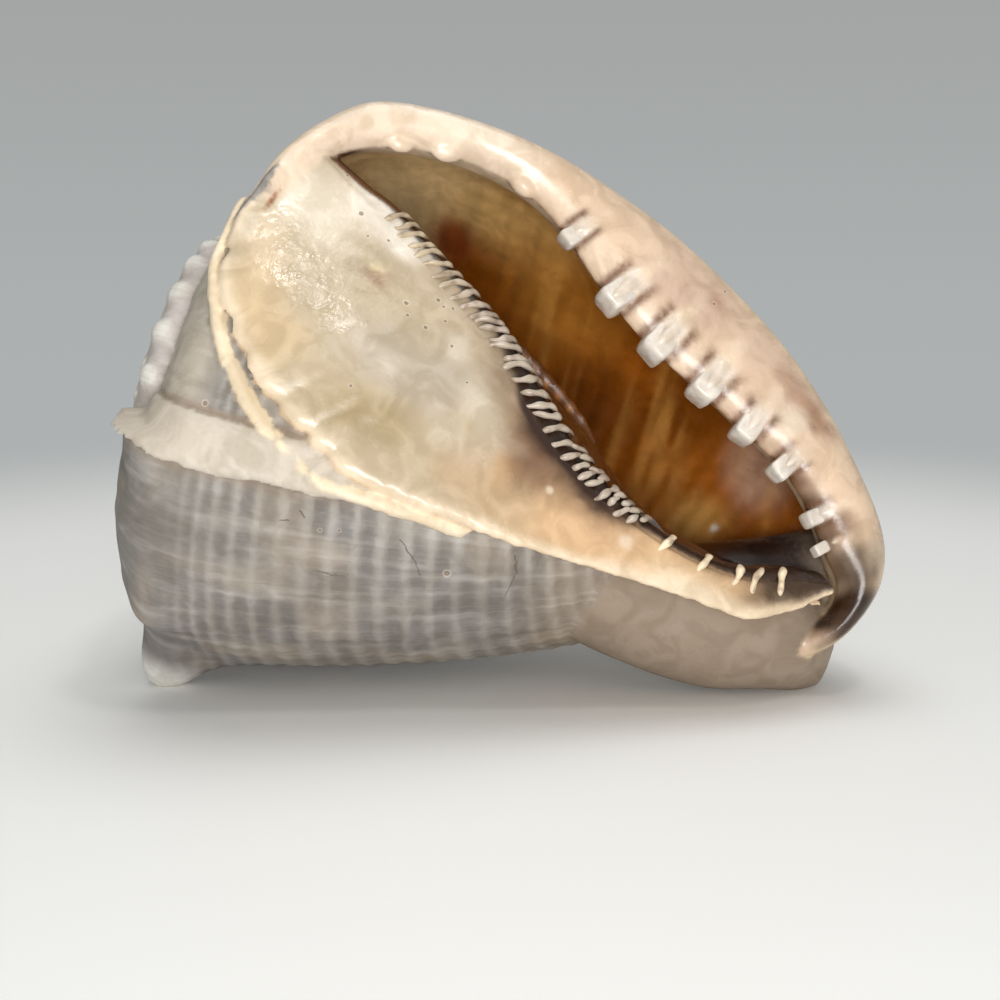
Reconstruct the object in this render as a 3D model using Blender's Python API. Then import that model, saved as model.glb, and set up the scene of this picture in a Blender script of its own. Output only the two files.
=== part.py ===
"""King helmet shell, one closed solid, lying at rest with its mouth to the front.

Every shape is worked out in millimetres in the shell's own frame and placed in metres at the end.
In that frame s runs along the coiling axis from the spire to the canal, f points out of the
mouth and u points up through the outer lip. Angles about the axis start at u and turn towards f.
"""

import math

import bmesh
import bpy
import numpy as np
from mathutils import Matrix, Vector

MM = 0.001

# How the shell lies: turn of the axis seen from above, its fall towards the canal, and the
# place of the frame's origin on the axis, in millimetres
YAW = math.radians(6.0)
FALL = math.radians(16.0)
PLACE = (-93.04, -9.18, 84.0)

# Coil: apex on the axis, and growth in one turn for the last whorl and for the earlier ones
APEX = -18.0
GROWTH = 1.6
EARLY_GROWTH = 1.45
# Angles at which the solid top of the spire starts, and where the hollow whorls follow it
TOP_START = -1700.0
HOLLOW_START = -700.0
# The spire is low: closer to the apex than this, distances along the axis shrink
LOW_SPIRE = 22.0
LOW_SPIRE_SHARE = 0.5
WALL = 4.6

# Radius against distance from the apex, at the size of the finished lip, from suture to canal
OLD_PROFILE = [(44, 62), (45, 71), (48, 79), (53, 86), (60, 90.5), (69, 92), (82, 90.5), (102, 85),
               (126, 77), (150, 68), (174, 57), (194, 46), (212, 33), (228, 15)]
BODY_PROFILE = [(32, 58), (35.2, 69), (39, 79), (44.6, 86), (53, 91), (64, 92), (80, 90.5), (102, 85),
                (126, 77), (150, 68), (174, 57), (194, 46), (212, 33), (228, 15)]
LIP_PROFILE = [(32, 52), (37, 64), (43, 73), (50, 79), (58, 83), (71, 85), (88, 85.5), (105, 83),
               (124, 78), (144, 70), (163, 59.5), (181, 47), (198, 31), (213, 14)]
# Angle where the old outer lip stands as a ledge, and the span where the body meets the new lip
OLD_LIP = -266.0
LIP_START = -60.0
# Angle at which the wall ends inside the lip's bead, against distance along the axis
WALL_END = [(14, 46), (20, 36), (25, 20), (31, 12), (38, 7), (52, 2), (70, -2), (105, -7),
            (144, -10), (170, -7), (182, 2), (200, 16)]
# How far the wall sinks under the shield, and over which angles
SINK = {"depth": 4.5, "from": -268.0, "to": -288.0}
# Its depth below the shoulder, against the angle, on to where it is the mouth's inner side
MOUTH_SINK = [(-450, 0), (-415, 10), (-345, 10), (-300, 4.5), (-288, 4.5), (-268, 0)]

# Knobs on the last whorl's shoulder and on the spire: angles in degrees, the place of their crest
# on the profile, their height, and the share of it that the first one has
BODY_KNOB = {"first": -221.0, "last": -81.0, "step": 28.0, "width": 6.5, "crest": 0.33,
             "height": 12.5, "first_share": 0.3}
SPIRE_KNOB = {"first": -1050.0, "last": -372.0, "step": 16.5, "width": 5.0, "crest": 0.26,
              "height": 6.0, "first_share": 1.0}
KNOB_BREADTH = 0.075

# The mouth's plane: its distance from the origin and its unit directions along the mouth, across
# it towards the lip, and out of it
MOUTH_OUT = Vector((0.2714, 0.7966, 0.5401)).normalized()
MOUTH_UP = Vector((0.0, -MOUTH_OUT.z, MOUTH_OUT.y)).normalized()
MOUTH_ALONG = MOUTH_OUT.cross(MOUTH_UP)
MOUTH_DISTANCE = 66.0

# Outlines in that plane, as (along, across), from the canal to the spire end
SHIELD_EDGE = [(178, -12), (169, -20), (159, -27), (147, -28.5), (126, -30), (110, -32), (94, -33.7),
               (78, -34.2), (63, -34.9), (48.4, -33.8), (35, -28.3), (22.9, -21.5), (12.1, -12.6),
               (5.4, -3.1), (2.3, 7.0), (2.6, 22.0), (5.3, 38)]
SHIELD_RIM = [(176.6, -10), (166.8, -12.5), (157.4, -16.4), (146.1, -18.6), (133, -18), (120, -15),
              (110, -10.9), (100.5, -6), (90, 1.2), (80.9, 8.9), (72.8, 15.3), (65.1, 20.3),
              (55, 26.2), (45.4, 31.8), (36.1, 37.2), (28.2, 39.4), (17, 43.5)]
# The swell of the shield's face: its middle and half sizes in that plane, and its height
SWELL = {"along": 45.0, "across": -8.0, "length": 45.0, "width": 28.0, "height": 7.0}
# The shield's thickness at its free edge and inside it
SHIELD_EDGE_THICK = 2.0
SHIELD_THICK = 6.5
# How the shield rolls into the mouth, as (beyond the rim, down), and its thickness there
ROLL = [(2.0, -1.2), (4.5, -4.5), (6.5, -10.0), (8.0, -18.0), (8.5, -27.0)]
ROLL_THICK = (6.0, 5.0)
# The older edge of the shield: its span along the outline, how far it stands outside the newer
# edge at least and where it stands out most, its breadth, its level with the height and rate of
# its waves, how far it falls away behind its crest, and its thickness
OLD_RIM = {"from": 0.42, "to": 0.95, "least": 2.4, "more": 4.5, "middle": 0.62, "spread": 0.12,
           "breadth": 14.0, "level": -2.0, "wave": 0.6, "waves": 40.0, "fall": 3.0, "thick": 2.6}
# The lip, from the spire end to the canal, with how far each station lies out of the plane
LIP_EDGE = [(2.9, 10), (3.2, 26), (5.3, 39.1), (11.4, 52.1), (21, 64), (35.9, 69.6), (54.7, 73.0),
            (72.1, 73.6), (90.7, 71.3), (110.3, 67.0), (131.3, 58.8), (149.5, 49.1), (164.9, 37.2),
            (177.2, 24.1), (186.1, 12.8), (190.8, 2.8), (190.8, -8.3), (186, -21), (177, -29)]
LIP_INNER = [(14, 30), (17.5, 40), (18.0, 45.8), (20.9, 48.6), (27.1, 52.9), (39.5, 57.7), (54, 60.4),
             (68.5, 58.6), (80.7, 51.9), (94.1, 41.2), (110.1, 31.7), (124.9, 26.3), (139.7, 21),
             (154.7, 15.6), (165.4, 6.8), (172, -0.5), (179.8, -7.5), (181, -15), (174.5, -24)]
LIP_OUT = [-1, -1, -1, -1, -1, 0, 0, 0, 0, 0, 0, 0, 0, 0, 0, -1, -3, -9, -20]

# The lip's section, as (share of the width from the outer edge, height), its face then its back
LIP_FACE = [(0.0, -1.5), (0.06, 1.2), (0.2, 3.6), (0.42, 5.2), (0.65, 4.8), (0.85, 2.6), (0.97, -1.0)]
LIP_BACK = [(0.03, -3.5), (0.12, -6.0), (0.28, -8.5), (0.45, -10.0), (0.62, -10.5), (0.78, -8.5),
            (0.90, -4.5)]

# Teeth on the lip's inner edge: (along, across, half size across the edge)
TEETH = [(32.7, 55.3, 2.4), (44.1, 59.2, 2.8), (66, 60.1, 3.0), (82.5, 52.4, 3.8), (98.9, 41.8, 5.4),
         (113.5, 33.8, 5.6), (129.2, 27.9, 5.4), (143.2, 21.4, 4.6), (155.2, 14.7, 4.0),
         (167.2, 5.3, 3.2), (170.8, -2.6, 2.2)]
# A tooth and the ridge behind it: the half axes into the mouth, along the edge and out of the plane
# as shares of that half size, how far the middle lies back from the edge and out of the plane, and
# how square the block is
TOOTH = {"axes": (1.0, 0.7, 0.8), "back": 1.0, "out": -1.0, "square": 0.35}
RIDGE = {"axes": (1.9, 0.4, 0.7), "back": 7.0, "out": 1.6, "square": 0.9}
# Folds across the columella's rim: how many stand close together and the stretch of the rim that
# they fill, the places of the few near the canal, and their course as (beyond the rim, down, half
# thickness) with its slant towards the canal
FOLDS = 25
FOLD_SPAN = (0.31, 0.86)
FOLDS_AT_CANAL = (0.09, 0.13, 0.165, 0.21, 0.265)
FOLD_PATH = [(-6.0, 0.0, 0.7), (-3.0, 0.2, 1.1), (0.5, 0.1, 1.4), (3.0, -1.6, 1.5), (5.6, -6.0, 1.4),
             (7.2, -11.5, 0.8)]
FOLD_SLANT = 0.42
# The shield's face dips this much between the folds, from this share of its width inwards
FOLD_DIP = 1.4
DIP_START = 0.86

# The old outer lip's section: (angle, height over the whorl), its face then its underside, and how
# far it reaches down the profile
LEDGE = [(-8.0, -1.0), (-7.2, 0.9), (-4.5, 1.7), (-1.5, 2.8), (1.2, 3.8), (2.6, 3.2)]
LEDGE_UNDER = [(-8.0, -3.2), (-5.0, -2.6), (-2.0, -2.0), (-0.5, -0.6), (1.0, 1.0), (2.2, 2.2)]
LEDGE_REACH = 0.62

# Columella and canal: (s, f, u, radius)
CANAL = [(40, 0, 0, 10), (90, 2, -5, 15), (120, 4, -15, 20), (145, 6, -20, 19), (165, 6, -22, 17),
         (180, 4, -19.5, 16), (190, 0, -20.5, 13.5), (196, -4, -22, 10)]
# The back of the canal, seen through the narrow end of the mouth
CANAL_BACK = [(150, -8, -14, 8), (170, -8, -8, 10), (184, -8, -4, 12), (194, -7, -8, 12)]

VOXEL = 1.4 * MM
KEPT = 0.029
CUTTER_SIZE = 0.5


def smoothstep(low, high, x):
    t = np.clip((np.asarray(x, float) - low) / (high - low), 0.0, 1.0)
    return t * t * (3.0 - 2.0 * t)


def spline(points, t):
    """Catmull-Rom curve through the points, evenly spread over t from 0 to 1."""
    pts = np.asarray(points, float)
    pts = pts.reshape(len(pts), -1)
    ends = np.concatenate([[2 * pts[0] - pts[1]], pts, [2 * pts[-1] - pts[-2]]])
    x = np.clip(np.asarray(t, float), 0.0, 1.0) * (len(pts) - 1)
    i = np.minimum(x.astype(int), len(pts) - 2)
    x = (x - i)[..., None]
    p0, p1, p2, p3 = (ends[i + n] for n in range(4))
    return 0.5 * (2 * p1 + (p2 - p0) * x + (2 * p0 - 5 * p1 + 4 * p2 - p3) * x**2
                  + (3 * p1 - p0 - 3 * p2 + p3) * x**3)


def growth(theta):
    """Size at an angle of growth, against the finished lip at angle 0."""
    late = GROWTH ** (np.maximum(theta, -360.0) / 360.0)
    early = EARLY_GROWTH ** (np.minimum(theta + 360.0, 0.0) / 360.0)
    return late * early


def knobs(row, theta, v):
    """Height of a row of knobs at an angle and a place on the profile."""
    last = round((row["last"] - row["first"]) / row["step"])
    number = np.clip(np.round((theta - row["first"]) / row["step"]), 0, last)
    away = (theta - row["first"] - number * row["step"]) / row["width"]
    height = row["height"] * np.where(number == 0, row["first_share"], 1.0)
    return height * np.exp(-away**2 - ((v - row["crest"]) / KNOB_BREADTH) ** 2)


def whorl(theta, v):
    """Distance along the axis and radius of the outside, for angle theta and place v on the profile."""
    old, body, lip = (spline(p, v) for p in (OLD_PROFILE, BODY_PROFILE, LIP_PROFILE))
    newer = smoothstep(OLD_LIP - 2.0, OLD_LIP + 3.0, theta)[..., None]
    at_lip = smoothstep(LIP_START, 0.0, theta)[..., None]
    section = (old * (1.0 - newer) + body * newer) * (1.0 - at_lip) + lip * at_lip
    section = section * growth(theta)[..., None]
    sunk = SINK["depth"] * smoothstep(SINK["from"], SINK["to"], theta) * (theta > -360.0)
    sunk = sunk + (np.interp(theta, *zip(*MOUTH_SINK)) - sunk) * smoothstep(0.36, 0.5, v)
    return section - sunk[..., None] * np.array([0.0, 1.0])


def whorl_frame(theta, v):
    """Points (s, radius) of the outside with its knobs, and the outward normals there."""
    step = 0.004
    along = whorl(theta, np.minimum(v + step, 1.0)) - whorl(theta, np.maximum(v - step, 0.0))
    normal = np.stack([-along[..., 1], along[..., 0]], -1)
    normal /= np.linalg.norm(normal, axis=-1, keepdims=True)
    raised = knobs(BODY_KNOB, theta, v) + knobs(SPIRE_KNOB, theta, v) * growth(theta)
    return whorl(theta, v) + raised[..., None] * normal, normal


def around(section, theta):
    """Turns (distance from the apex, radius) at an angle into a point of the shell's frame."""
    angle = np.radians(theta)
    s, radius = section[..., 0] + APEX, section[..., 1]
    s = s + (1.0 - LOW_SPIRE_SHARE) * np.maximum(LOW_SPIRE - section[..., 0], 0.0)
    return np.stack([s, radius * np.sin(angle), radius * np.cos(angle)], -1)


def in_mouth(along, across, out):
    """A point of the shell's frame from its place in the mouth's plane and its height out of it."""
    along, across, out = np.broadcast_arrays(along, across, out)
    return (MOUTH_DISTANCE + out)[..., None] * np.array(MOUTH_OUT) \
        + along[..., None] * np.array(MOUTH_ALONG) + across[..., None] * np.array(MOUTH_UP)


def add_sheet(bm, front, back):
    """Closed slab between two grids of points of the same size."""
    rows, columns = front.shape[:2]
    f = [[bm.verts.new(p) for p in row] for row in front]
    b = [[bm.verts.new(p) for p in row] for row in back]
    for i in range(rows - 1):
        for j in range(columns - 1):
            bm.faces.new((f[i][j], f[i][j + 1], f[i + 1][j + 1], f[i + 1][j]))
            bm.faces.new((b[i][j], b[i + 1][j], b[i + 1][j + 1], b[i][j + 1]))
    for i in range(rows - 1):
        bm.faces.new((f[i][0], f[i + 1][0], b[i + 1][0], b[i][0]))
        bm.faces.new((f[i][-1], b[i][-1], b[i + 1][-1], f[i + 1][-1]))
    for j in range(columns - 1):
        bm.faces.new((f[0][j], b[0][j], b[0][j + 1], f[0][j + 1]))
        bm.faces.new((f[-1][j], f[-1][j + 1], b[-1][j + 1], b[-1][j]))


def add_tube(bm, rings):
    """Closed tube through rings of points, with flat ends."""
    loops = [[bm.verts.new(p) for p in ring] for ring in rings]
    count = len(loops[0])
    for a, b in zip(loops, loops[1:]):
        for j in range(count):
            k = (j + 1) % count
            bm.faces.new((a[j], a[k], b[k], b[j]))
    bm.faces.new(loops[0][::-1])
    bm.faces.new(loops[-1])


def add_block(bm, centre, axes, square):
    """Rounded block from three half axes, from a ball at square 1 towards a box at square 0."""
    angles = np.linspace(0.0, 2.0 * math.pi, 24, endpoint=False)
    x = np.sign(np.cos(angles)) * np.abs(np.cos(angles)) ** square
    y = np.sign(np.sin(angles)) * np.abs(np.sin(angles)) ** square
    rings = []
    for lift in np.linspace(-1.45, 1.45, 14):
        level = math.copysign(abs(math.sin(lift)) ** square, lift)
        width = math.cos(lift) ** square
        rings.append(centre + level * axes[0] + width * (x[:, None] * axes[1] + y[:, None] * axes[2]))
    add_tube(bm, rings)


def add_whorls(bm):
    """The hollow whorls, one wall that coils from the top of the spire round to the lip."""
    v = np.linspace(0.0, 1.0, 60)
    s_lip = spline(LIP_PROFILE, v)[:, 0] + APEX
    end = np.interp(s_lip, *zip(*WALL_END))
    turn = np.linspace(0.0, 1.0, 280)[:, None]
    theta = HOLLOW_START + (end - HOLLOW_START) * turn
    v = np.broadcast_to(v, theta.shape)
    outside, normal = whorl_frame(theta, v)
    inside = outside - normal * (WALL * np.sqrt(growth(theta)))[..., None]
    inside[..., 1] = np.maximum(inside[..., 1], 1.0)
    add_sheet(bm, around(outside, theta), around(inside, theta))


def add_spire_top(bm):
    """The first small whorls, filled up to the axis."""
    v = np.linspace(0.0, 1.0, 40)
    theta = np.linspace(TOP_START, HOLLOW_START + 12.0, 260)[:, None]
    v = np.broadcast_to(v, (len(theta), v.size))
    theta = np.broadcast_to(theta, v.shape)
    outside, _ = whorl_frame(theta, v)
    axis = outside * np.array([1.0, 0.0]) + np.array([0.0, 0.2])
    add_sheet(bm, around(outside, theta), around(axis, theta))


def add_canal(bm):
    """Columella and siphonal canal, thick stems that bend away from the mouth."""
    angles = np.linspace(0.0, 2.0 * math.pi, 24, endpoint=False)
    for stem in (CANAL, CANAL_BACK):
        rings = []
        for s, f, u, radius in spline(stem, np.linspace(0.0, 1.0, 40)):
            rings.append([(s, f + radius * math.sin(a), u + radius * math.cos(a)) for a in angles])
        add_tube(bm, rings)


def shield_height(along, across, inward):
    """How far the shield's face swells out of the mouth's plane."""
    swell = np.exp(-((along - SWELL["along"]) / SWELL["length"]) ** 2
                   - ((across - SWELL["across"]) / SWELL["width"]) ** 2)
    dip = FOLD_DIP * smoothstep(DIP_START, 0.97, inward)
    return 0.3 + SWELL["height"] * swell * (1.0 - (1.0 - inward) ** 4) - dip


def add_shield(bm):
    """The glazed shield: a plate from its free edge to the rim, then curling into the mouth."""
    t = np.linspace(0.0, 1.0, 90)[:, None]
    edge, rim = spline(SHIELD_EDGE, t)[:, 0], spline(SHIELD_RIM, t)[:, 0]
    inward = np.linspace(0.0, 1.0, 20)[None, :]
    face = edge[:, None] + (rim - edge)[:, None] * inward[..., None]
    height = shield_height(face[..., 0], face[..., 1], inward)
    top = in_mouth(face[..., 0], face[..., 1], height)
    thick = SHIELD_EDGE_THICK + (SHIELD_THICK - SHIELD_EDGE_THICK) * smoothstep(0.0, 0.5, inward)
    bottom = in_mouth(face[..., 0], face[..., 1], height - thick)
    tangent = np.gradient(rim, axis=0)
    across = np.stack([-tangent[:, 1], tangent[:, 0]], -1)
    across /= -np.linalg.norm(across, axis=-1, keepdims=True)
    level = height[:, -1]
    tops, bottoms = [top], [bottom]
    for beyond, down in ROLL:
        p = rim + across * beyond
        q = rim + across * (beyond - ROLL_THICK[0])
        tops.append(in_mouth(p[:, 0], p[:, 1], level + down)[:, None])
        bottoms.append(in_mouth(q[:, 0], q[:, 1], level + down - ROLL_THICK[1])[:, None])
    add_sheet(bm, np.concatenate(tops, 1), np.concatenate(bottoms, 1))


def add_old_rim(bm):
    """The older edge of the shield, which shows under the newer one."""
    t = np.linspace(OLD_RIM["from"], OLD_RIM["to"], 50)[:, None]
    edge, rim = spline(SHIELD_EDGE, t)[:, 0], spline(SHIELD_RIM, t)[:, 0]
    inward = (rim - edge) / np.linalg.norm(rim - edge, axis=-1, keepdims=True)
    bulge = np.exp(-((t - OLD_RIM["middle"]) / OLD_RIM["spread"]) ** 2)
    outer = edge - inward * (OLD_RIM["least"] + OLD_RIM["more"] * bulge)
    across = np.linspace(0.0, OLD_RIM["breadth"], 8)
    face = outer[:, None] + inward[:, None] * across[None, :, None]
    fall = OLD_RIM["fall"] * smoothstep(1.0, 7.0, across)
    level = OLD_RIM["level"] + OLD_RIM["wave"] * np.sin(t * OLD_RIM["waves"]) - fall[None, :]
    top = in_mouth(face[..., 0], face[..., 1], level)
    add_sheet(bm, top, in_mouth(face[..., 0], face[..., 1], level - OLD_RIM["thick"]))


def add_lip(bm):
    """The outer lip, a thick rounded bead turned back over the whorl."""
    t = np.linspace(0.0, 1.0, 110)[:, None]
    edge, inner = spline(LIP_EDGE, t)[:, 0], spline(LIP_INNER, t)[:, 0]
    out = spline([(x,) for x in LIP_OUT], t)[:, 0]
    swell = 0.3 + 0.7 * smoothstep(0.0, 0.17, t)
    sides = []
    for side in (LIP_FACE, LIP_BACK):
        dense = spline(side, np.linspace(0.0, 1.0, 20))
        place = edge[:, None] + (inner - edge)[:, None] * dense[None, :, :1]
        sides.append(in_mouth(place[..., 0], place[..., 1], out + dense[None, :, 1] * swell))
    add_sheet(bm, sides[0], sides[1])


def flat_direction(direction):
    """A direction of the shell's frame from one in the mouth's plane."""
    return direction[0] * np.array(MOUTH_ALONG) + direction[1] * np.array(MOUTH_UP)


def lip_directions(place):
    """Unit directions in the mouth's plane at the lip's inner edge: along it and into the mouth."""
    line = spline(LIP_INNER, np.linspace(0.0, 1.0, 300))
    i = int(np.argmin(np.hypot(line[:, 0] - place[0], line[:, 1] - place[1])))
    i = min(max(i, 1), len(line) - 2)
    run = line[i + 1] - line[i - 1]
    run /= np.linalg.norm(run)
    return run, np.array([run[1], -run[0]])


def add_teeth(bm):
    """Blunt teeth on the lip's inner edge, each with a low ridge running up the lip."""
    for along, across, half in TEETH:
        run, into = lip_directions((along, across))
        directions = (flat_direction(into), flat_direction(run), np.array(MOUTH_OUT))
        for block in (TOOTH, RIDGE):
            back = block["back"]
            centre = in_mouth(along - into[0] * back, across - into[1] * back, block["out"])
            axes = [d * half * share for d, share in zip(directions, block["axes"])]
            add_block(bm, centre, axes, block["square"])


def add_folds(bm):
    """Short folds that cross the columella's rim and run down into the mouth."""
    angles = np.linspace(0.0, 2.0 * math.pi, 8, endpoint=False)[:, None]
    for t in FOLDS_AT_CANAL + tuple(np.linspace(*FOLD_SPAN, FOLDS)):
        here, ahead = spline(SHIELD_RIM, np.array([t, t + 0.01]))
        run = (ahead - here) / np.linalg.norm(ahead - here)
        into = np.array([run[1], -run[0]])
        rings = []
        for beyond, down, half in FOLD_PATH:
            p = here + into * beyond - run * FOLD_SLANT * beyond
            centre = in_mouth(p[0], p[1], shield_height(*here, 1.0) + FOLD_DIP + down)
            rings.append(centre + half * (np.cos(angles) * flat_direction(run)
                                          + np.sin(angles) * MOUTH_OUT))
        add_tube(bm, rings)


def add_old_lip(bm):
    """The old outer lip, a thin ledge left across the whorl where growth once paused."""
    v = np.linspace(0.0, LEDGE_REACH, 60)[:, None]
    sides = []
    for side in (LEDGE, LEDGE_UNDER):
        dense = spline(side, np.linspace(0.0, 1.0, 12))
        theta = OLD_LIP + dense[None, :, 0] * np.ones_like(v)
        section, normal = whorl_frame(theta, v * np.ones_like(theta))
        sides.append(around(section + normal * dense[None, :, 1:], theta))
    add_sheet(bm, sides[0], sides[1])


def shell_material():
    """Ivory and warm grey, softly glossy."""
    material = bpy.data.materials.new("shell")
    material.use_nodes = True
    shader = material.node_tree.nodes["Principled BSDF"]
    shader.inputs["Base Color"].default_value = (0.72, 0.58, 0.43, 1.0)
    shader.inputs["Roughness"].default_value = 0.35
    shader.inputs["Metallic"].default_value = 0.0
    return material


def placement():
    """Matrix that lays the shell's frame down at rest, in metres."""
    axis = Vector((math.cos(FALL) * math.cos(YAW), -math.cos(FALL) * math.sin(YAW), -math.sin(FALL)))
    up = Vector((math.sin(FALL) * math.cos(YAW), -math.sin(FALL) * math.sin(YAW), math.cos(FALL)))
    front = axis.cross(up)
    turn = Matrix((axis, front, up)).transposed().to_4x4()
    return Matrix.Translation(Vector(PLACE) * MM) @ turn @ Matrix.Scale(MM, 4)


def build_ground_cutter():
    """Box below ground level, which leaves small worn flats where the shell stands."""
    bm = bmesh.new()
    bmesh.ops.create_cube(bm, size=CUTTER_SIZE)
    bmesh.ops.translate(bm, verts=bm.verts, vec=(0.0, 0.0, -CUTTER_SIZE / 2.0))
    mesh = bpy.data.meshes.new("ground_cutter")
    bm.to_mesh(mesh)
    bm.free()
    cutter = bpy.data.objects.new("ground_cutter", mesh)
    cutter.hide_render = True
    cutter.display_type = "WIRE"
    bpy.context.scene.collection.objects.link(cutter)
    return cutter


def build_shell():
    """All parts of the shell fused into one closed mesh."""
    bm = bmesh.new()
    for add in (add_teeth, add_whorls, add_spire_top, add_canal, add_shield, add_old_rim, add_lip,
                add_folds, add_old_lip):
        add(bm)
    bmesh.ops.transform(bm, matrix=placement(), verts=bm.verts)
    bmesh.ops.recalc_face_normals(bm, faces=bm.faces)
    mesh = bpy.data.meshes.new("shell")
    bm.to_mesh(mesh)
    bm.free()
    shell = bpy.data.objects.new("shell", mesh)
    bpy.context.scene.collection.objects.link(shell)
    mesh.materials.append(shell_material())
    fuse = shell.modifiers.new("Fuse", "REMESH")
    fuse.mode = "VOXEL"
    fuse.voxel_size = VOXEL
    fuse.use_smooth_shade = True
    soften = shell.modifiers.new("Soften", "SMOOTH")
    soften.factor = 0.5
    soften.iterations = 1
    simplify = shell.modifiers.new("Simplify", "DECIMATE")
    simplify.ratio = KEPT
    wear = shell.modifiers.new("Wear", "BOOLEAN")
    wear.operation = "DIFFERENCE"
    wear.solver = "EXACT"
    wear.object = build_ground_cutter()
    return shell


for obj in list(bpy.data.objects):
    bpy.data.objects.remove(obj)
build_shell()
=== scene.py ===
"""Looks of the king helmet shell: its fine form, its glaze and colours, soft light and camera.

The fine form repeats the named values of the solid part, in millimetres in the shell's own
frame: s runs along the coiling axis from the spire to the canal, f points out of the mouth and u
up through the outer lip. Angles about the axis start at u and turn towards f.
"""

import math

import bmesh
import bpy
import numpy as np
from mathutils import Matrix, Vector
from mathutils.kdtree import KDTree


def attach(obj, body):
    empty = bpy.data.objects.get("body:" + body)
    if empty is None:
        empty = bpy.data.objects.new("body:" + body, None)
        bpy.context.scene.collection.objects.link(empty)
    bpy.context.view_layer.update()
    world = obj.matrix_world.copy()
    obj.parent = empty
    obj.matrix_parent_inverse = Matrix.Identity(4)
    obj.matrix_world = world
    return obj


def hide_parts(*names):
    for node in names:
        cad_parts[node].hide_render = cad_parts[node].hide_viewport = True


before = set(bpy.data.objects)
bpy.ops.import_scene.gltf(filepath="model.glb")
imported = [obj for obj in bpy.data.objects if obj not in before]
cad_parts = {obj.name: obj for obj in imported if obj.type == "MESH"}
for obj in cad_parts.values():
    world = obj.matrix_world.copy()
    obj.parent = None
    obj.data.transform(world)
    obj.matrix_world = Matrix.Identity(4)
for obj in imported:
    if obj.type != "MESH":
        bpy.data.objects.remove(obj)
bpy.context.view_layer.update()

MM = 0.001

# How the shell lies, as in the solid part
YAW = math.radians(6.0)
FALL = math.radians(16.0)
PLACE = (-93.04, -9.18, 84.0)

# Coil: apex on the axis, and growth in one turn for the last whorl and for the earlier ones
APEX = -18.0
GROWTH = 1.6
EARLY_GROWTH = 1.45
TOP_START = -1700.0
HOLLOW_START = -700.0
LOW_SPIRE = 22.0
LOW_SPIRE_SHARE = 0.5
WALL = 4.6

# Radius against distance from the apex, at the size of the finished lip, from suture to canal
OLD_PROFILE = [(44, 62), (45, 71), (48, 79), (53, 86), (60, 90.5), (69, 92), (82, 90.5), (102, 85),
               (126, 77), (150, 68), (174, 57), (194, 46), (212, 33), (228, 15)]
BODY_PROFILE = [(32, 58), (35.2, 69), (39, 79), (44.6, 86), (53, 91), (64, 92), (80, 90.5), (102, 85),
                (126, 77), (150, 68), (174, 57), (194, 46), (212, 33), (228, 15)]
LIP_PROFILE = [(32, 52), (37, 64), (43, 73), (50, 79), (58, 83), (71, 85), (88, 85.5), (105, 83),
               (124, 78), (144, 70), (163, 59.5), (181, 47), (198, 31), (213, 14)]
OLD_LIP = -266.0
LIP_START = -60.0
WALL_END = [(14, 46), (20, 36), (25, 20), (31, 12), (38, 7), (52, 2), (70, -2), (105, -7),
            (144, -10), (170, -7), (182, 2), (200, 16)]
SINK = {"depth": 4.5, "from": -268.0, "to": -288.0}

BODY_KNOB = {"first": -221.0, "last": -81.0, "step": 28.0, "width": 6.5, "crest": 0.33,
             "height": 12.5, "first_share": 0.3}
SPIRE_KNOB = {"first": -1050.0, "last": -372.0, "step": 16.5, "width": 5.0, "crest": 0.26,
              "height": 6.0, "first_share": 1.0}
KNOB_BREADTH = 0.075

# The mouth's plane, and outlines in it as (along, across), from the canal to the spire end
MOUTH_OUT = np.array(Vector((0.2714, 0.7966, 0.5401)).normalized())
MOUTH_UP = np.array(Vector((0.0, -MOUTH_OUT[2], MOUTH_OUT[1])).normalized())
MOUTH_ALONG = np.cross(MOUTH_OUT, MOUTH_UP)
MOUTH_DISTANCE = 66.0
SHIELD_EDGE = [(178, -12), (169, -20), (159, -27), (147, -28.5), (126, -30), (110, -32), (94, -33.7),
               (78, -34.2), (63, -34.9), (48.4, -33.8), (35, -28.3), (22.9, -21.5), (12.1, -12.6),
               (5.4, -3.1), (2.3, 7.0), (2.6, 22.0), (5.3, 38)]
SHIELD_RIM = [(176.6, -10), (166.8, -12.5), (157.4, -16.4), (146.1, -18.6), (133, -18), (120, -15),
              (110, -10.9), (100.5, -6), (90, 1.2), (80.9, 8.9), (72.8, 15.3), (65.1, 20.3),
              (55, 26.2), (45.4, 31.8), (36.1, 37.2), (28.2, 39.4), (17, 43.5)]
SWELL = {"along": 45.0, "across": -8.0, "length": 45.0, "width": 28.0, "height": 7.0}
SHIELD_EDGE_THICK = 2.0
SHIELD_THICK = 6.5
ROLL = [(2.0, -1.2), (4.5, -4.5), (6.5, -10.0), (8.0, -18.0), (8.5, -27.0)]
ROLL_THICK = (6.0, 5.0)
OLD_RIM = {"from": 0.42, "to": 0.95, "least": 2.4, "more": 4.5, "middle": 0.62, "spread": 0.12,
           "breadth": 14.0, "level": -2.0, "wave": 0.6, "waves": 40.0, "fall": 3.0, "thick": 2.6}
LIP_EDGE = [(2.9, 10), (3.2, 26), (5.3, 39.1), (11.4, 52.1), (21, 64), (35.9, 69.6), (54.7, 73.0),
            (72.1, 73.6), (90.7, 71.3), (110.3, 67.0), (131.3, 58.8), (149.5, 49.1), (164.9, 37.2),
            (177.2, 24.1), (186.1, 12.8), (190.8, 2.8), (190.8, -8.3), (186, -21), (177, -29)]
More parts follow.
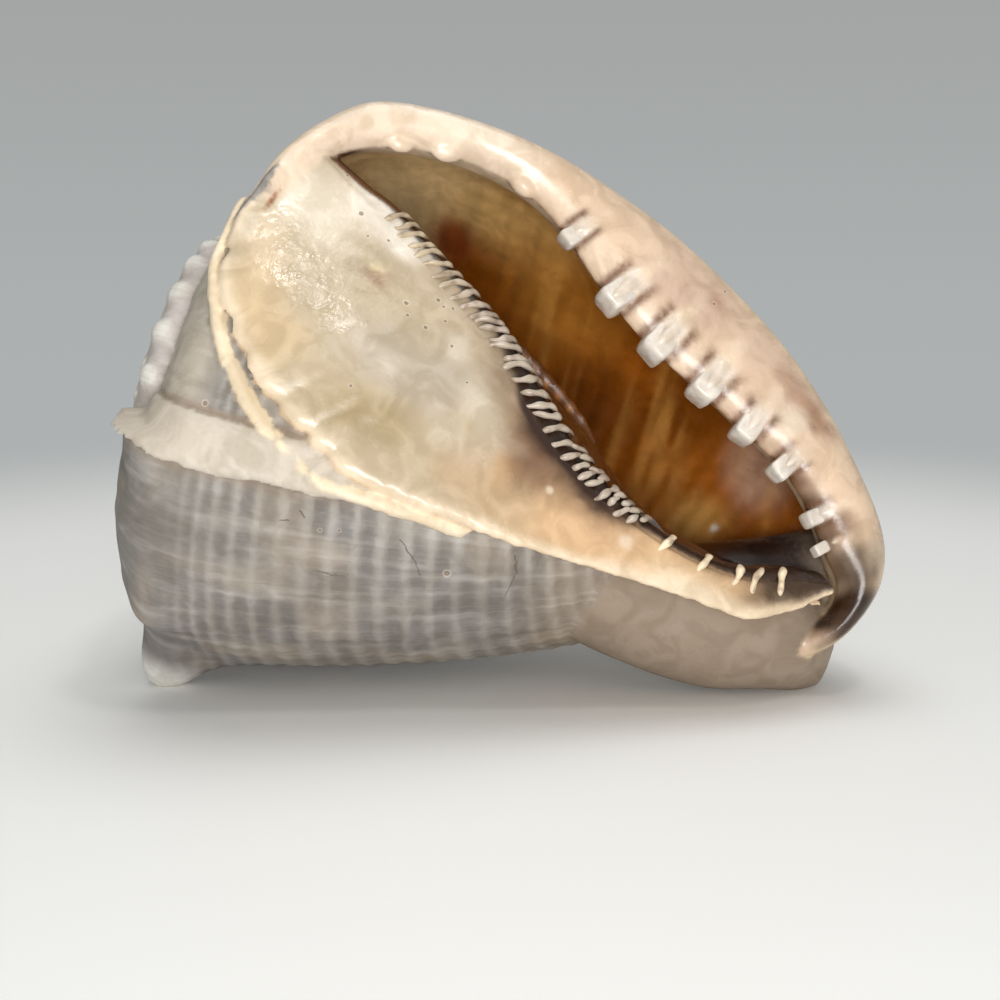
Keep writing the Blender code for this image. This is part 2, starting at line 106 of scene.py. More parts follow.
LIP_INNER = [(14, 30), (17.5, 40), (18.0, 45.8), (20.9, 48.6), (27.1, 52.9), (39.5, 57.7), (54, 60.4),
             (68.5, 58.6), (80.7, 51.9), (94.1, 41.2), (110.1, 31.7), (124.9, 26.3), (139.7, 21),
             (154.7, 15.6), (165.4, 6.8), (172, -0.5), (179.8, -7.5), (181, -15), (174.5, -24)]
LIP_OUT = [-1, -1, -1, -1, -1, 0, 0, 0, 0, 0, 0, 0, 0, 0, 0, -1, -3, -9, -20]
LIP_FACE = [(0.0, -1.5), (0.06, 1.2), (0.2, 3.6), (0.42, 5.2), (0.65, 4.8), (0.85, 2.6), (0.97, -1.0)]
LIP_BACK = [(0.03, -3.5), (0.12, -6.0), (0.28, -8.5), (0.45, -10.0), (0.62, -10.5), (0.78, -8.5),
            (0.90, -4.5)]
TEETH = [(32.7, 55.3, 2.4), (44.1, 59.2, 2.8), (66, 60.1, 3.0), (82.5, 52.4, 3.8), (98.9, 41.8, 5.4),
         (113.5, 33.8, 5.6), (129.2, 27.9, 5.4), (143.2, 21.4, 4.6), (155.2, 14.7, 4.0),
         (167.2, 5.3, 3.2), (170.8, -2.6, 2.2)]
TOOTH = {"axes": (1.0, 0.7, 0.8), "back": 1.0, "out": -1.0, "square": 0.35}
RIDGE = {"axes": (1.9, 0.4, 0.7), "back": 7.0, "out": 1.6, "square": 0.9}
FOLD_SPAN = (0.31, 0.86)
FOLDS_AT_CANAL = (0.09, 0.13, 0.165, 0.21, 0.265)
FOLD_PATH = [(-5.0, -1.6, 0.5), (-3.2, -0.3, 1.0), (-0.5, 0.0, 1.35), (2.4, -1.3, 1.5), (4.8, -4.6, 1.45),
             (6.8, -9.5, 0.8)]
FOLD_SLANT = 0.42
FOLD_DIP = 1.4
DIP_START = 0.86
LEDGE = [(-8.0, -1.0), (-7.2, 0.9), (-4.5, 1.7), (-1.5, 2.8), (1.2, 3.8), (2.6, 3.2)]
LEDGE_UNDER = [(-8.0, -3.2), (-5.0, -2.6), (-2.0, -2.0), (-0.5, -0.6), (1.0, 1.0), (2.2, 2.2)]
LEDGE_REACH = 0.62
CANAL = [(40, 0, 0, 10), (90, 2, -5, 15), (120, 4, -15, 20), (145, 6, -20, 19), (165, 6, -22, 17),
         (180, 4, -19.5, 16), (190, 0, -20.5, 13.5), (196, -4, -22, 10)]
CANAL_BACK = [(150, -8, -14, 8), (170, -8, -8, 10), (184, -8, -4, 12), (194, -7, -8, 12)]

# Tones, as linear colours of the surface
BODY_GREY = (0.185, 0.17, 0.155)
BODY_LILAC = (0.17, 0.155, 0.15)
BODY_IVORY = (0.44, 0.39, 0.32)
BODY_WHITE = (0.38, 0.36, 0.33)
BODY_STAIN = (0.38, 0.29, 0.20)
SPIRE_LILAC = (0.50, 0.46, 0.46)
KNOB_WHITE = (0.72, 0.71, 0.67)
# Brown laid as painted shade in hollows and by the old lip's ledge, and as brown grime on the flange and
# stem
SHADE_AND_DIRT_BROWN = (0.24, 0.18, 0.13)
# Fasciole grey, also laid on the whorl as painted shade low towards the canal
FASCIOLE_GREY_AND_LOW_SHADE = (0.27, 0.21, 0.155)
UNDER_TAN = (0.66, 0.50, 0.33)
RIM_CREAM = (0.80, 0.66, 0.47)
FLANGE_CREAM = (0.53, 0.47, 0.39)
INSIDE_BROWN = (0.32, 0.09, 0.005)
# Near-black brown, laid only as painted shade deep in the mouth: under the columella's rim, on its curl, in
# a corner and at the folds' inner ends
DEEP_SHADE_BROWN = (0.095, 0.030, 0.006)
INSIDE_GOLD = (0.80, 0.42, 0.10)
SHIELD_IVORY = (0.48, 0.39, 0.27)
SHIELD_PEACH = (0.60, 0.40, 0.23)
MARBLE_WHITE = (0.62, 0.55, 0.46)
EDGE_CREAM = (0.76, 0.63, 0.47)
HAZE_PURPLE = (0.15, 0.075, 0.045)
# Near black: the dark between the folds, and painted shade in the canal's opening
FOLD_BLACK_AND_SHADE = (0.030, 0.014, 0.009)
FOLD_WHITE = (0.44, 0.37, 0.30)
TOOTH_WHITE = (0.72, 0.66, 0.59)
TOOTH_GREY = (0.50, 0.45, 0.41)
TOOTH_GAP_SHADE_BROWN = (0.13, 0.05, 0.02)
LIP_PEACH = (0.66, 0.49, 0.35)
LIP_CREAM = (0.76, 0.61, 0.47)
LIP_PINK = (0.44, 0.30, 0.23)
LIP_EDGE_YELLOW = (0.72, 0.55, 0.36)
LIP_BROWN = (0.36, 0.20, 0.10)

# Soft marks on the shield and the lip: middle and half sizes in the mouth's plane, tone, strength
SHIELD_MARKS = [
    ((21, 31), (15, 11), (0.78, 0.70, 0.58), 0.85),
    ((40, 31), (12, 7), (0.86, 0.79, 0.70), 0.95),
    ((13, 2), (8, 16), (0.62, 0.47, 0.29), 0.8),
    ((20, -9), (9, 9), (0.57, 0.43, 0.26), 0.75),
    ((54, -5), (19, 10), (0.43, 0.37, 0.30), 0.8),
    ((56, 17), (14, 9), (0.53, 0.42, 0.30), 0.7),
    ((48, -20), (16, 7), (0.34, 0.255, 0.14), 0.8),
    ((84, -18), (3.5, 6), (0.66, 0.38, 0.15), 0.6),
    ((79, -23), (13, 7), (0.44, 0.31, 0.19), 0.75),
    ((112, -24), (17, 8), (0.64, 0.42, 0.24), 0.75),
    ((136, -28), (12, 5), (0.78, 0.62, 0.44), 0.8),
    ((96, -13), (18, 8), (0.18, 0.095, 0.05), 0.85),
    ((38.5, 16), (3.4, 2.2), (0.32, 0.19, 0.11), 1.0),
    ((38, 18.2), (2.2, 0.8), (0.90, 0.76, 0.42), 0.8),
]
# Most lip marks are clouds of its own colour; one pale mark is a painted highlight and two near-black ones
# at the canal end are painted shade
LIP_MARKS_WITH_HIGHLIGHT_AND_SHADE = [
    ((42, 66), (22, 4), (0.80, 0.68, 0.55), 0.7),
    ((117, 47), (13, 8), (0.50, 0.35, 0.27), 0.75),
    ((107, 48), (7, 5), (0.50, 0.36, 0.27), 0.6),
    ((124, 50), (3.0, 3.0), (0.32, 0.17, 0.09), 0.6),
    ((150, 38), (5, 3), (0.34, 0.18, 0.11), 0.6),
    ((155, 33), (5, 3), (0.32, 0.16, 0.09), 0.7),
    ((161, 28), (6, 3), (0.26, 0.13, 0.07), 0.8),
    # A painted highlight on the lip's glaze
    ((152, 26), (5, 4), (0.86, 0.76, 0.62), 0.6),
    ((160, 12), (5, 4), (0.12, 0.045, 0.015), 0.9),
    ((164, 7), (7, 4), (0.08, 0.03, 0.01), 0.95),
    ((171, 3), (8, 5), (0.12, 0.055, 0.025), 0.85),
    # Painted shade in the canal's opening
    ((163, -4), (10, 6), (0.02, 0.012, 0.008), 1.0),
    ((179, -3), (8, 6), (0.13, 0.085, 0.055), 0.95),
    ((186, 3), (4, 8), (0.50, 0.40, 0.30), 0.8),
    # Painted shade in the canal's opening
    ((185, -15), (11, 10), (0.03, 0.012, 0.005), 1.0),
]
# Soft marks inside the mouth, with their middle and half sizes in the shell's frame; the golden ones near
# the spire end are painted light through the thin wall, the near-black ones towards the canal painted shade
INSIDE_TONE_LIGHT_AND_SHADE_MARKS = [
    ((33, -38, 70), (34, 34, 30), (0.99, 0.76, 0.40), 1.0),
    ((54, -31, 72), (24, 24, 18), (0.88, 0.64, 0.31), 0.85),
    ((75, -40, 64), (24, 22, 18), (0.72, 0.44, 0.15), 0.75),
    ((96, -51, 46), (24, 16, 20), (0.48, 0.20, 0.03), 0.65),
    ((59.9, -58, 54), (7, 9, 10), (0.30, 0.06, 0.005), 0.9),
    ((116, -55, 20), (18, 12, 14), (0.17, 0.045, 0.003), 0.8),
    ((153, -34, -3), (12, 10, 8), (0.74, 0.40, 0.10), 0.75),
    ((166, -29, 17), (13, 10, 12), (0.50, 0.30, 0.20), 0.85),
    ((140, -42, 24), (16, 12, 12), (0.17, 0.045, 0.002), 0.8),
    ((178, -1, 4), (13, 13, 11), (0.02, 0.01, 0.007), 1.0),
    ((158.9, -31.2, -3.2), (1.4, 1.4, 1.4), (0.92, 0.86, 0.76), 1.0),
]
# Painted shade in the dark corners of the mouth, deep in the canal and at the spire end: tone, middle,
# sizes
CORNER_SHADE_MARKS = [(FOLD_BLACK_AND_SHADE, (172, -1, 1), (12, 9, 9)), (DEEP_SHADE_BROWN, (36, 18, 69), (8, 7, 6))]
# Bites out of the shield's free edge, as (along, across, depth, half size)
NOTCHES = [(2.5, 7.0, 1.6, 1.5), (9.0, -9.5, 1.3, 2.5), (15.0, -16.0, 1.5, 2.2), (27.0, -24.5, 1.4, 2.4),
           (36.0, -29.0, 1.6, 1.8), (43.0, -31.5, 1.2, 2.4)]
# Pits and bubbles in the shield's glaze, as (along, across, radius)
SHIELD_PITS = [(29.5, 31.5, 0.6), (47.5, 11.8, 0.55), (48.7, 8.5, 0.4), (54.8, 16.9, 0.5),
               (56.6, 15.7, 0.35), (59.0, 16.6, 0.4), (58.1, 11.7, 0.35), (61.5, 5.6, 0.4),
               (53.9, 7.3, 0.5), (38.2, 27.4, 0.35), (42.0, -14.8, 0.35), (22.9, 41.1, 0.35),
               (123.6, 49.0, 0.45), (126.2, 55.1, 0.35), (33.0, 26.0, 0.3), (68.0, -2.0, 0.3)]
GLAZE_BUBBLES = [(96.8, -18.0, 1.2), (119.5, -22.3, 2.2)]
# Pits of the outside's front, and its hairline cracks from end to end, in the shell's frame as
# (s, u) with a radius or half width
BODY_PITS = [(28.4, 6.7, 0.55), (93.0, -20.3, 0.7), (61.6, -16.0, 0.4), (66.0, -15.0, 0.35)]
CRACKS = [((80.2, -14.1), (84.3, -17.9), 0.20), ((84.3, -17.9), (86.8, -22.3), 0.16),
          ((107.7, -12.1), (109.6, -17.0), 0.25), ((109.6, -17.0), (108.1, -23.6), 0.18),
          ((63.2, -27.2), (69.5, -26.5), 0.18), ((74.7, 1.5), (79.0, -1.2), 0.16),
          ((52.2, -15.8), (54.0, -15.0), 0.25), ((56.2, -12.6), (57.6, -13.2), 0.25)]

# Tones of the small marks: pits and the rings round them, bubbles in the glaze, and cracks
HALO_CREAM = (0.88, 0.80, 0.66)
PIT_BROWN = (0.16, 0.10, 0.06)
BUBBLE_CREAM = (0.76, 0.64, 0.50)
CRACK_BROWN = (0.12, 0.08, 0.05)

# Surface: roughness of glaze from least to most, what chalky shell adds to it, how closely growth
# lines follow each other over a turn and over the profile, and where the glaze looks hammered
GLAZE_ROUGHNESS = (0.16, 0.30)
CHALK_ROUGHNESS = 0.50
SHELL_IOR = 1.5
FINE_LINES = (420.0, 9.0, 0.0)
WIDE_LINES = (95.0, 5.0, 0.0)
HAMMERED_AT = (30.0, 14.0, 3.0)

# The floor, with where it fades as distances from its middle; the backdrop from low to high; the
# lights, as (name, place, disc size, power, colour); and the photograph's camera
FLOOR_HALF = 1.5
FLOOR_TONE = (0.95, 0.95, 0.94, 1.0)
FLOOR_ROUGHNESS = 0.6
FLOOR_FADE = (0.24, 0.54)
BACKDROP_RISE = (-0.12, 0.25)
BACKDROP_LOW = (0.42, 0.44, 0.44, 1.0)
BACKDROP_HIGH = (0.35, 0.36, 0.355, 1.0)
LIGHTS = [("overhead", (0.0, 0.05, 0.80), 0.7, 2.65, (1.0, 0.99, 0.97)),
          ("key", (0.12, -0.34, 0.70), 0.08, 0.50, (1.0, 0.97, 0.93)),
          ("fill", (0.02, -0.60, 0.05), 0.3, 3.1, (1.0, 0.98, 0.96))]
LIGHT_TARGET = (0.0, 0.0, 0.07)
CAMERA_PLACE = (-0.00112, -0.43416, 0.123)
CAMERA_TILT = math.radians(80.0)
CAMERA_ANGLE = 2.0 * math.atan(500.0 / 1538.0)

# The fused mesh: the size of its voxels, and its triangles in all and at most in one piece
VOXEL = 0.75 * MM
ALL_TRIANGLES = 860000
MOST_TRIANGLES = 180000

# Relief of the outside: spiral cords counted over the profile, their height, and growth folds
CORDS = 38.0
CORD_HEIGHT = 0.22
GROWTH_FOLDS = 0.55

# The first teeth are only low lobes of the lip, as blocks of their own shape
LOBES = 3
LOBE = {"axes": (1.3, 1.6, 1.0), "back": 1.6, "out": -0.6, "square": 1.0}
# Folds along the span of the rim; nearer to the canal than TWO_ROWS they stand in two rows, and
# each row takes its own stretch of their course
FINE_FOLDS = 31
TWO_ROWS = 0.47
ROW_SPANS = ((0.0, 0.52), (0.44, 1.0))
ROW_SHIFT = 1.9
CANAL_FOLD_SPAN = (0.16, 0.70)
FOLD_SEED = 7

# Kinds of surface, as numbers kept with each sample point
OUTSIDE, INSIDE, SHIELD, ROLLED, UNDER, LIP, LIP_UNDER, RIM, FLANGE, STEM = range(10)


def ramp(low, high, x):
    """Smooth step from 0 where x is at low to 1 where it is at high."""
    t = np.clip((np.asarray(x, float) - low) / (high - low), 0.0, 1.0)
    return t * t * (3.0 - 2.0 * t)


def spline(points, t):
    """Catmull-Rom curve through the points, evenly spread over t from 0 to 1."""
    pts = np.asarray(points, float)
    pts = pts.reshape(len(pts), -1)
    ends = np.concatenate([[2 * pts[0] - pts[1]], pts, [2 * pts[-1] - pts[-2]]])
    x = np.clip(np.asarray(t, float), 0.0, 1.0) * (len(pts) - 1)
    i = np.minimum(x.astype(int), len(pts) - 2)
    x = (x - i)[..., None]
    p0, p1, p2, p3 = (ends[i + n] for n in range(4))
    return 0.5 * (2 * p1 + (p2 - p0) * x + (2 * p0 - 5 * p1 + 4 * p2 - p3) * x**2
                  + (3 * p1 - p0 - 3 * p2 + p3) * x**3)


def noise(points, size, seed=0):
    """Smooth noise between -1 and 1 at each point, with features about size across."""
    x = np.asarray(points, float) / size
    cell = np.floor(x).astype(np.int64)
    part = x - cell
    part = part * part * (3.0 - 2.0 * part)
    total = np.zeros(x.shape[:-1])
    for corner in np.ndindex(*(2,) * x.shape[-1]):
        key = np.full(x.shape[:-1], 1013 * seed + 77, np.int64)
        weight = np.ones(x.shape[:-1])
        for axis, (side, prime) in enumerate(zip(corner, (73856093, 19349663, 83492791))):
            key = key ^ ((cell[..., axis] + side) * prime)
            weight = weight * (part[..., axis] if side else 1.0 - part[..., axis])
        key = (key ^ (key >> 13)) * 1274126177 % 2147483647
        total += weight * ((key % 65536) / 32767.5 - 1.0)
    return total


def growth(theta):
    """Size at an angle of growth, against the finished lip at angle 0."""
    late = GROWTH ** (np.maximum(theta, -360.0) / 360.0)
    early = EARLY_GROWTH ** (np.minimum(theta + 360.0, 0.0) / 360.0)
    return late * early


def knobs(row, theta, v):
    """Height of a row of knobs at an angle and a place on the profile."""
    last = round((row["last"] - row["first"]) / row["step"])
    number = np.clip(np.round((theta - row["first"]) / row["step"]), 0, last)
    away = (theta - row["first"] - number * row["step"]) / row["width"]
    height = row["height"] * np.where(number == 0, row["first_share"], 1.0)
    return height * np.exp(-away**2 - ((v - row["crest"]) / KNOB_BREADTH) ** 2)


def whorl(theta, v):
    """Distance along the axis and radius of the outside, for angle theta and place v on the profile."""
    old, body, lip = (spline(p, v) for p in (OLD_PROFILE, BODY_PROFILE, LIP_PROFILE))
    newer = ramp(OLD_LIP - 2.0, OLD_LIP + 3.0, theta)[..., None]
    at_lip = ramp(LIP_START, 0.0, theta)[..., None]
    section = (old * (1.0 - newer) + body * newer) * (1.0 - at_lip) + lip * at_lip
    section = section * growth(theta)[..., None]
    sunk = SINK["depth"] * ramp(SINK["from"], SINK["to"], theta) * (theta > -360.0)
    return section - sunk[..., None] * np.array([0.0, 1.0])


def relief(theta, v):
    """Fine height of the outside: spiral cords and the uneven folds of growth across them."""
    place = np.stack(np.broadcast_arrays(theta * 0.55, v * 26.0), -1)
    folds = noise(place, 4.0, 11) * 0.6 + noise(place, 1.7, 12) * 0.4
    crumple = np.exp(-((theta + 252.0) / 10.0) ** 2) * ramp(0.1, 0.2, v) * ramp(0.75, 0.5, v)
    cords = np.cos(2.0 * math.pi * CORDS * v) * ramp(0.36, 0.44, v) * ramp(1.0, 0.85, v)
    folds = folds * (1.0 + 1.2 * crumple) * ramp(0.02, 0.12, v)
    return CORD_HEIGHT * cords + GROWTH_FOLDS * folds


def whorl_frame(theta, v):
    """Points (s, radius) of the outside with knobs and relief, and the outward normals there."""
    step = 0.004
    along = whorl(theta, np.minimum(v + step, 1.0)) - whorl(theta, np.maximum(v - step, 0.0))
    normal = unit(np.stack([-along[..., 1], along[..., 0]], -1))
    raised = knobs(BODY_KNOB, theta, v) + knobs(SPIRE_KNOB, theta, v) * growth(theta) + relief(theta, v)
    return whorl(theta, v) + raised[..., None] * normal, normal


def around(section, theta):
    """Turns (distance from the apex, radius) at an angle into a point of the shell's frame."""
    angle = np.radians(theta)
    s, radius = section[..., 0] + APEX, section[..., 1]
    s = s + (1.0 - LOW_SPIRE_SHARE) * np.maximum(LOW_SPIRE - section[..., 0], 0.0)
    return np.stack([s, radius * np.sin(angle), radius * np.cos(angle)], -1)


def unit(vectors):
    """The vectors scaled to length 1."""
    return vectors / np.linalg.norm(vectors, axis=-1, keepdims=True)


def in_mouth(place, out):
    """A point of the shell's frame from its place in the mouth's plane and its height out of it."""
    along, across, out = np.broadcast_arrays(place[..., 0], place[..., 1], out)
    return (MOUTH_DISTANCE + out)[..., None] * MOUTH_OUT + along[..., None] * MOUTH_ALONG \
        + across[..., None] * MOUTH_UP


def to_mouth(points):
    """(along, across, out) of points of the shell's frame."""
    return np.stack([points @ MOUTH_ALONG, points @ MOUTH_UP, points @ MOUTH_OUT - MOUTH_DISTANCE], -1)


class Lump:
    """Closed pieces gathered into one mesh, with sample points that say what each surface is."""

    def __init__(self):
        self.points, self.faces, self.count = [], [], 0
        self.samples, self.kinds, self.places = [], [], []

    def sample(self, points, kind, a, b):
        shape = points.shape[:-1]
        self.samples.append(points.reshape(-1, 3))
        self.kinds.append(np.full(self.samples[-1].shape[0], kind))
        place = np.stack([np.broadcast_to(a, shape), np.broadcast_to(b, shape)], -1)
        self.places.append(place.reshape(-1, 2))

    def sheet(self, front, back):
        """Closed slab between two grids of points of the same size."""
        rows, columns = front.shape[:2]
        f = self.count + np.arange(rows * columns).reshape(rows, columns)
        b = f + rows * columns
        self.points += [front.reshape(-1, 3), back.reshape(-1, 3)]
        self.count += 2 * rows * columns
        quads = [np.stack([f[:-1, :-1], f[:-1, 1:], f[1:, 1:], f[1:, :-1]], -1),
                 np.stack([b[:-1, :-1], b[1:, :-1], b[1:, 1:], b[:-1, 1:]], -1),
                 np.stack([f[:-1, 0], f[1:, 0], b[1:, 0], b[:-1, 0]], -1),
                 np.stack([f[:-1, -1], b[:-1, -1], b[1:, -1], f[1:, -1]], -1),
                 np.stack([f[0, :-1], b[0, :-1], b[0, 1:], f[0, 1:]], -1),
                 np.stack([f[-1, :-1], f[-1, 1:], b[-1, 1:], b[-1, :-1]], -1)]
        self.faces += [q.reshape(-1, 4) for q in quads]

    def tube(self, rings):
        """Closed tube through rings of points. The end rings are small and close to a point."""
        rings = np.asarray(rings, float)
        middle = rings.mean(axis=1, keepdims=True)
        tips = [middle[0] + (rings[0] - middle[0]) * 0.01, middle[-1] + (rings[-1] - middle[-1]) * 0.01]
        rings = np.concatenate([[tips[0]], rings, [tips[1]]])
        count = rings.shape[1]
        index = self.count + np.arange(rings.shape[0] * count).reshape(rings.shape[0], count)
        following = np.roll(index, -1, axis=1)
        self.points.append(rings.reshape(-1, 3))
        self.count += rings.shape[0] * count
        quads = np.stack([index[:-1], following[:-1], following[1:], index[1:]], -1)
        self.faces.append(quads.reshape(-1, 4))
        half = count // 2
        for ring in (index[0], index[-1]):
            caps = np.stack([ring[:half - 1], ring[1:half], ring[count - 2:half - 1:-1],
                             ring[count - 1:half:-1]], -1)
            self.faces.append(caps)

    def mesh(self, name):
        mesh = bpy.data.meshes.new(name)
        points, faces = np.concatenate(self.points), np.concatenate(self.faces)
        mesh.from_pydata((points @ TURN.T + SHIFT), [], faces)
        return mesh


def placement():
    """Rotation, with millimetres turned to metres, and shift that lay the shell's frame at rest."""
    axis = np.array([math.cos(FALL) * math.cos(YAW), -math.cos(FALL) * math.sin(YAW), -math.sin(FALL)])
    up = np.array([math.sin(FALL) * math.cos(YAW), -math.sin(FALL) * math.sin(YAW), math.cos(FALL)])
    front = np.cross(axis, up)
    return np.stack([axis, front, up], -1) * MM, np.array(PLACE) * MM


TURN, SHIFT = placement()


def to_shell(points):
    """Points of the shell's frame, in millimetres, from points in metres."""
    return (points - SHIFT) @ TURN / MM**2


def add_whorls(lump):
    """The hollow whorls, one wall that coils from the top of the spire round to the lip."""
    v = np.linspace(0.0, 1.0, 240)
    s_lip = spline(LIP_PROFILE, v)[:, 0] + APEX
    end = np.interp(s_lip, *zip(*WALL_END))
    turn = np.linspace(0.0, 1.0, 900)[:, None]
    theta = HOLLOW_START + (end - HOLLOW_START) * turn
    v = np.broadcast_to(v, theta.shape)
    outside, normal = whorl_frame(theta, v)
    inside = outside - normal * (WALL * np.sqrt(growth(theta)))[..., None]
    inside[..., 1] = np.maximum(inside[..., 1], 1.0)
    front, back = around(outside, theta), around(inside, theta)
    lump.sheet(front, back)
    lump.sample(front, OUTSIDE, theta, v)
    lump.sample(back, INSIDE, theta, v)


def add_spire_top(lump):
    """The first small whorls, filled up to the axis."""
    v = np.linspace(0.0, 1.0, 80)
    theta = np.linspace(TOP_START, HOLLOW_START + 12.0, 900)[:, None]
    v = np.broadcast_to(v, (len(theta), v.size))
    theta = np.broadcast_to(theta, v.shape)
    outside, _ = whorl_frame(theta, v)
    axis = outside * np.array([1.0, 0.0]) + np.array([0.0, 0.2])
    front = around(outside, theta)
    lump.sheet(front, around(axis, theta))
    lump.sample(front, OUTSIDE, theta, v)


def add_canal(lump):
    """Columella and siphonal canal, thick stems that bend away from the mouth."""
    angles = np.linspace(0.0, 2.0 * math.pi, 60, endpoint=False)
    for stem in (CANAL, CANAL_BACK):
        s, f, u, radius = spline(stem, np.linspace(0.0, 1.0, 160)).T[..., None]
        rings = np.stack([s + 0.0 * angles, f + radius * np.sin(angles), u + radius * np.cos(angles)], -1)
        lump.tube(rings)
        lump.sample(rings, STEM, s, angles)


def shield_height(along, across, inward):
    """How far the shield's face swells out of the mouth's plane."""
    swell = np.exp(-((along - SWELL["along"]) / SWELL["length"]) ** 2
                   - ((across - SWELL["across"]) / SWELL["width"]) ** 2)
    dip = FOLD_DIP * ramp(DIP_START, 0.97, inward)
    return 0.3 + SWELL["height"] * swell * (1.0 - (1.0 - inward) ** 4) - dip


def shield_dents(along, across, inward):
    """Small unevenness of the glaze, gone at the free edge and at the rim."""
    place = np.stack([along, across], -1)
    dents = noise(place, 21.0, 1) * 0.45 + noise(place, 8.0, 2) * 0.16
    return dents * ramp(0.0, 0.2, inward) * ramp(1.0, 0.85, inward)


def shield_outlines(t):
    """Free edge and rim of the shield at places t along it, the edge ragged and here and there notched."""
    edge, rim = spline(SHIELD_EDGE, t)[:, 0], spline(SHIELD_RIM, t)[:, 0]
    inward = unit(rim - edge)
    ragged = noise(edge, 7.0, 3) * 0.55 + noise(edge, 2.4, 4) * 0.35
    for along, across, depth, half in NOTCHES:
        away = np.hypot(edge[:, 0] - along, edge[:, 1] - across)
        ragged = ragged + depth * np.exp(-((away / half) ** 2))
    return edge + inward * ragged[:, None], rim


def add_shield(lump):
    """The glazed shield: a plate from its free edge to the rim, then curling into the mouth."""
    t = np.linspace(0.0, 1.0, 420)[:, None]
    edge, rim = shield_outlines(t)
    inward = (np.linspace(0.0, 1.0, 110) ** 1.3)[None, :]
    face = edge[:, None] + (rim - edge)[:, None] * inward[..., None]
    height = shield_height(face[..., 0], face[..., 1], inward)
    round_off = 1.1 * np.maximum(1.0 - inward / 0.03, 0.0) ** 2
    dents = shield_dents(face[..., 0], face[..., 1], inward * np.ones_like(height))
    top = in_mouth(face, height + dents - round_off)
    thick = SHIELD_EDGE_THICK + (SHIELD_THICK - SHIELD_EDGE_THICK) * ramp(0.0, 0.5, inward)
    bottom = in_mouth(face, height - thick)
    tangent = np.gradient(rim, axis=0)
    across = -unit(np.stack([-tangent[:, 1], tangent[:, 0]], -1))
    level = height[:, -1]
    course = spline([(0.0, 0.0)] + ROLL, np.linspace(0.0, 1.0, 40)[1:])
    tops, bottoms = [top], [bottom]
    for beyond, down in course:
        below = rim + across * (beyond - ROLL_THICK[0])
        tops.append(in_mouth(rim + across * beyond, level + down)[:, None])
        bottoms.append(in_mouth(below, level + down - ROLL_THICK[1])[:, None])
    rolled = np.concatenate(tops[1:], 1)
    lump.sheet(np.concatenate(tops, 1), np.concatenate(bottoms, 1))
    lump.sample(top, SHIELD, t, inward)
    lump.sample(rolled, ROLLED, t, np.linspace(0.0, 1.0, len(course))[None, :])
    lump.sample(bottom[:, :80], UNDER, t, inward[:, :80])


def add_old_rim(lump):
    """The older edge of the shield, which shows under the newer one."""
    t = np.linspace(OLD_RIM["from"], OLD_RIM["to"], 300)[:, None]
    edge, rim = spline(SHIELD_EDGE, t)[:, 0], spline(SHIELD_RIM, t)[:, 0]
    inward = unit(rim - edge)
    bulge = np.exp(-((t - OLD_RIM["middle"]) / OLD_RIM["spread"]) ** 2)
    ragged = noise(edge, 6.0, 5)[:, None] * 0.5 + noise(edge, 2.2, 8)[:, None] * 0.25
    outer = edge - inward * (OLD_RIM["least"] + OLD_RIM["more"] * bulge + ragged)
    across = np.linspace(0.0, OLD_RIM["breadth"], 50)
    face = outer[:, None] + inward[:, None] * across[None, :, None]
    fall = OLD_RIM["fall"] * ramp(1.0, 7.0, across) * ramp(0.46, 0.62, t)
    level = OLD_RIM["level"] + OLD_RIM["wave"] * np.sin(t * OLD_RIM["waves"]) - fall
    level = level - 0.9 * np.exp(-across / 0.6)
    top = in_mouth(face, level)
    lump.sheet(top, in_mouth(face, level - OLD_RIM["thick"]))
    lump.sample(top, RIM, t, across)


def add_lip(lump):
    """The outer lip, a thick rounded bead turned back over the whorl."""
    t = np.linspace(0.0, 1.0, 460)[:, None]
    edge, inner = spline(LIP_EDGE, t)[:, 0], spline(LIP_INNER, t)[:, 0]
    out = spline([(x,) for x in LIP_OUT], t)[:, 0]
    swell = 0.3 + 0.7 * ramp(0.0, 0.17, t)
    sides = []
    for side, uneven in ((LIP_FACE, 1.0), (LIP_BACK, 0.0)):
        dense = spline(side, np.linspace(0.0, 1.0, 70))
        place = edge[:, None] + (inner - edge)[:, None] * dense[None, :, :1]
        lumps = noise(place, 16.0, 21) * 0.35 + noise(place, 6.0, 22) * 0.12
        rise = out + dense[None, :, 1] * swell + uneven * lumps * ramp(0.05, 0.2, dense[None, :, 0])
        sides.append(in_mouth(place, rise))
    lump.sheet(sides[0], sides[1])
    for side, kind, section in ((sides[0], LIP, LIP_FACE), (sides[1], LIP_UNDER, LIP_BACK)):
        lump.sample(side, kind, t, spline(section, np.linspace(0.0, 1.0, 70))[:, 0])


def lip_directions(place):
    """Unit directions in the mouth's plane at the lip's inner edge: along it and into the mouth."""
    line = spline(LIP_INNER, np.linspace(0.0, 1.0, 300))
    i = int(np.argmin(np.hypot(line[:, 0] - place[0], line[:, 1] - place[1])))
    i = min(max(i, 1), len(line) - 2)
    run = unit(line[i + 1] - line[i - 1])
    return run, np.array([run[1], -run[0]])


def flat_direction(direction):
    """A direction of the shell's frame from one in the mouth's plane."""
    return direction[0] * MOUTH_ALONG + direction[1] * MOUTH_UP


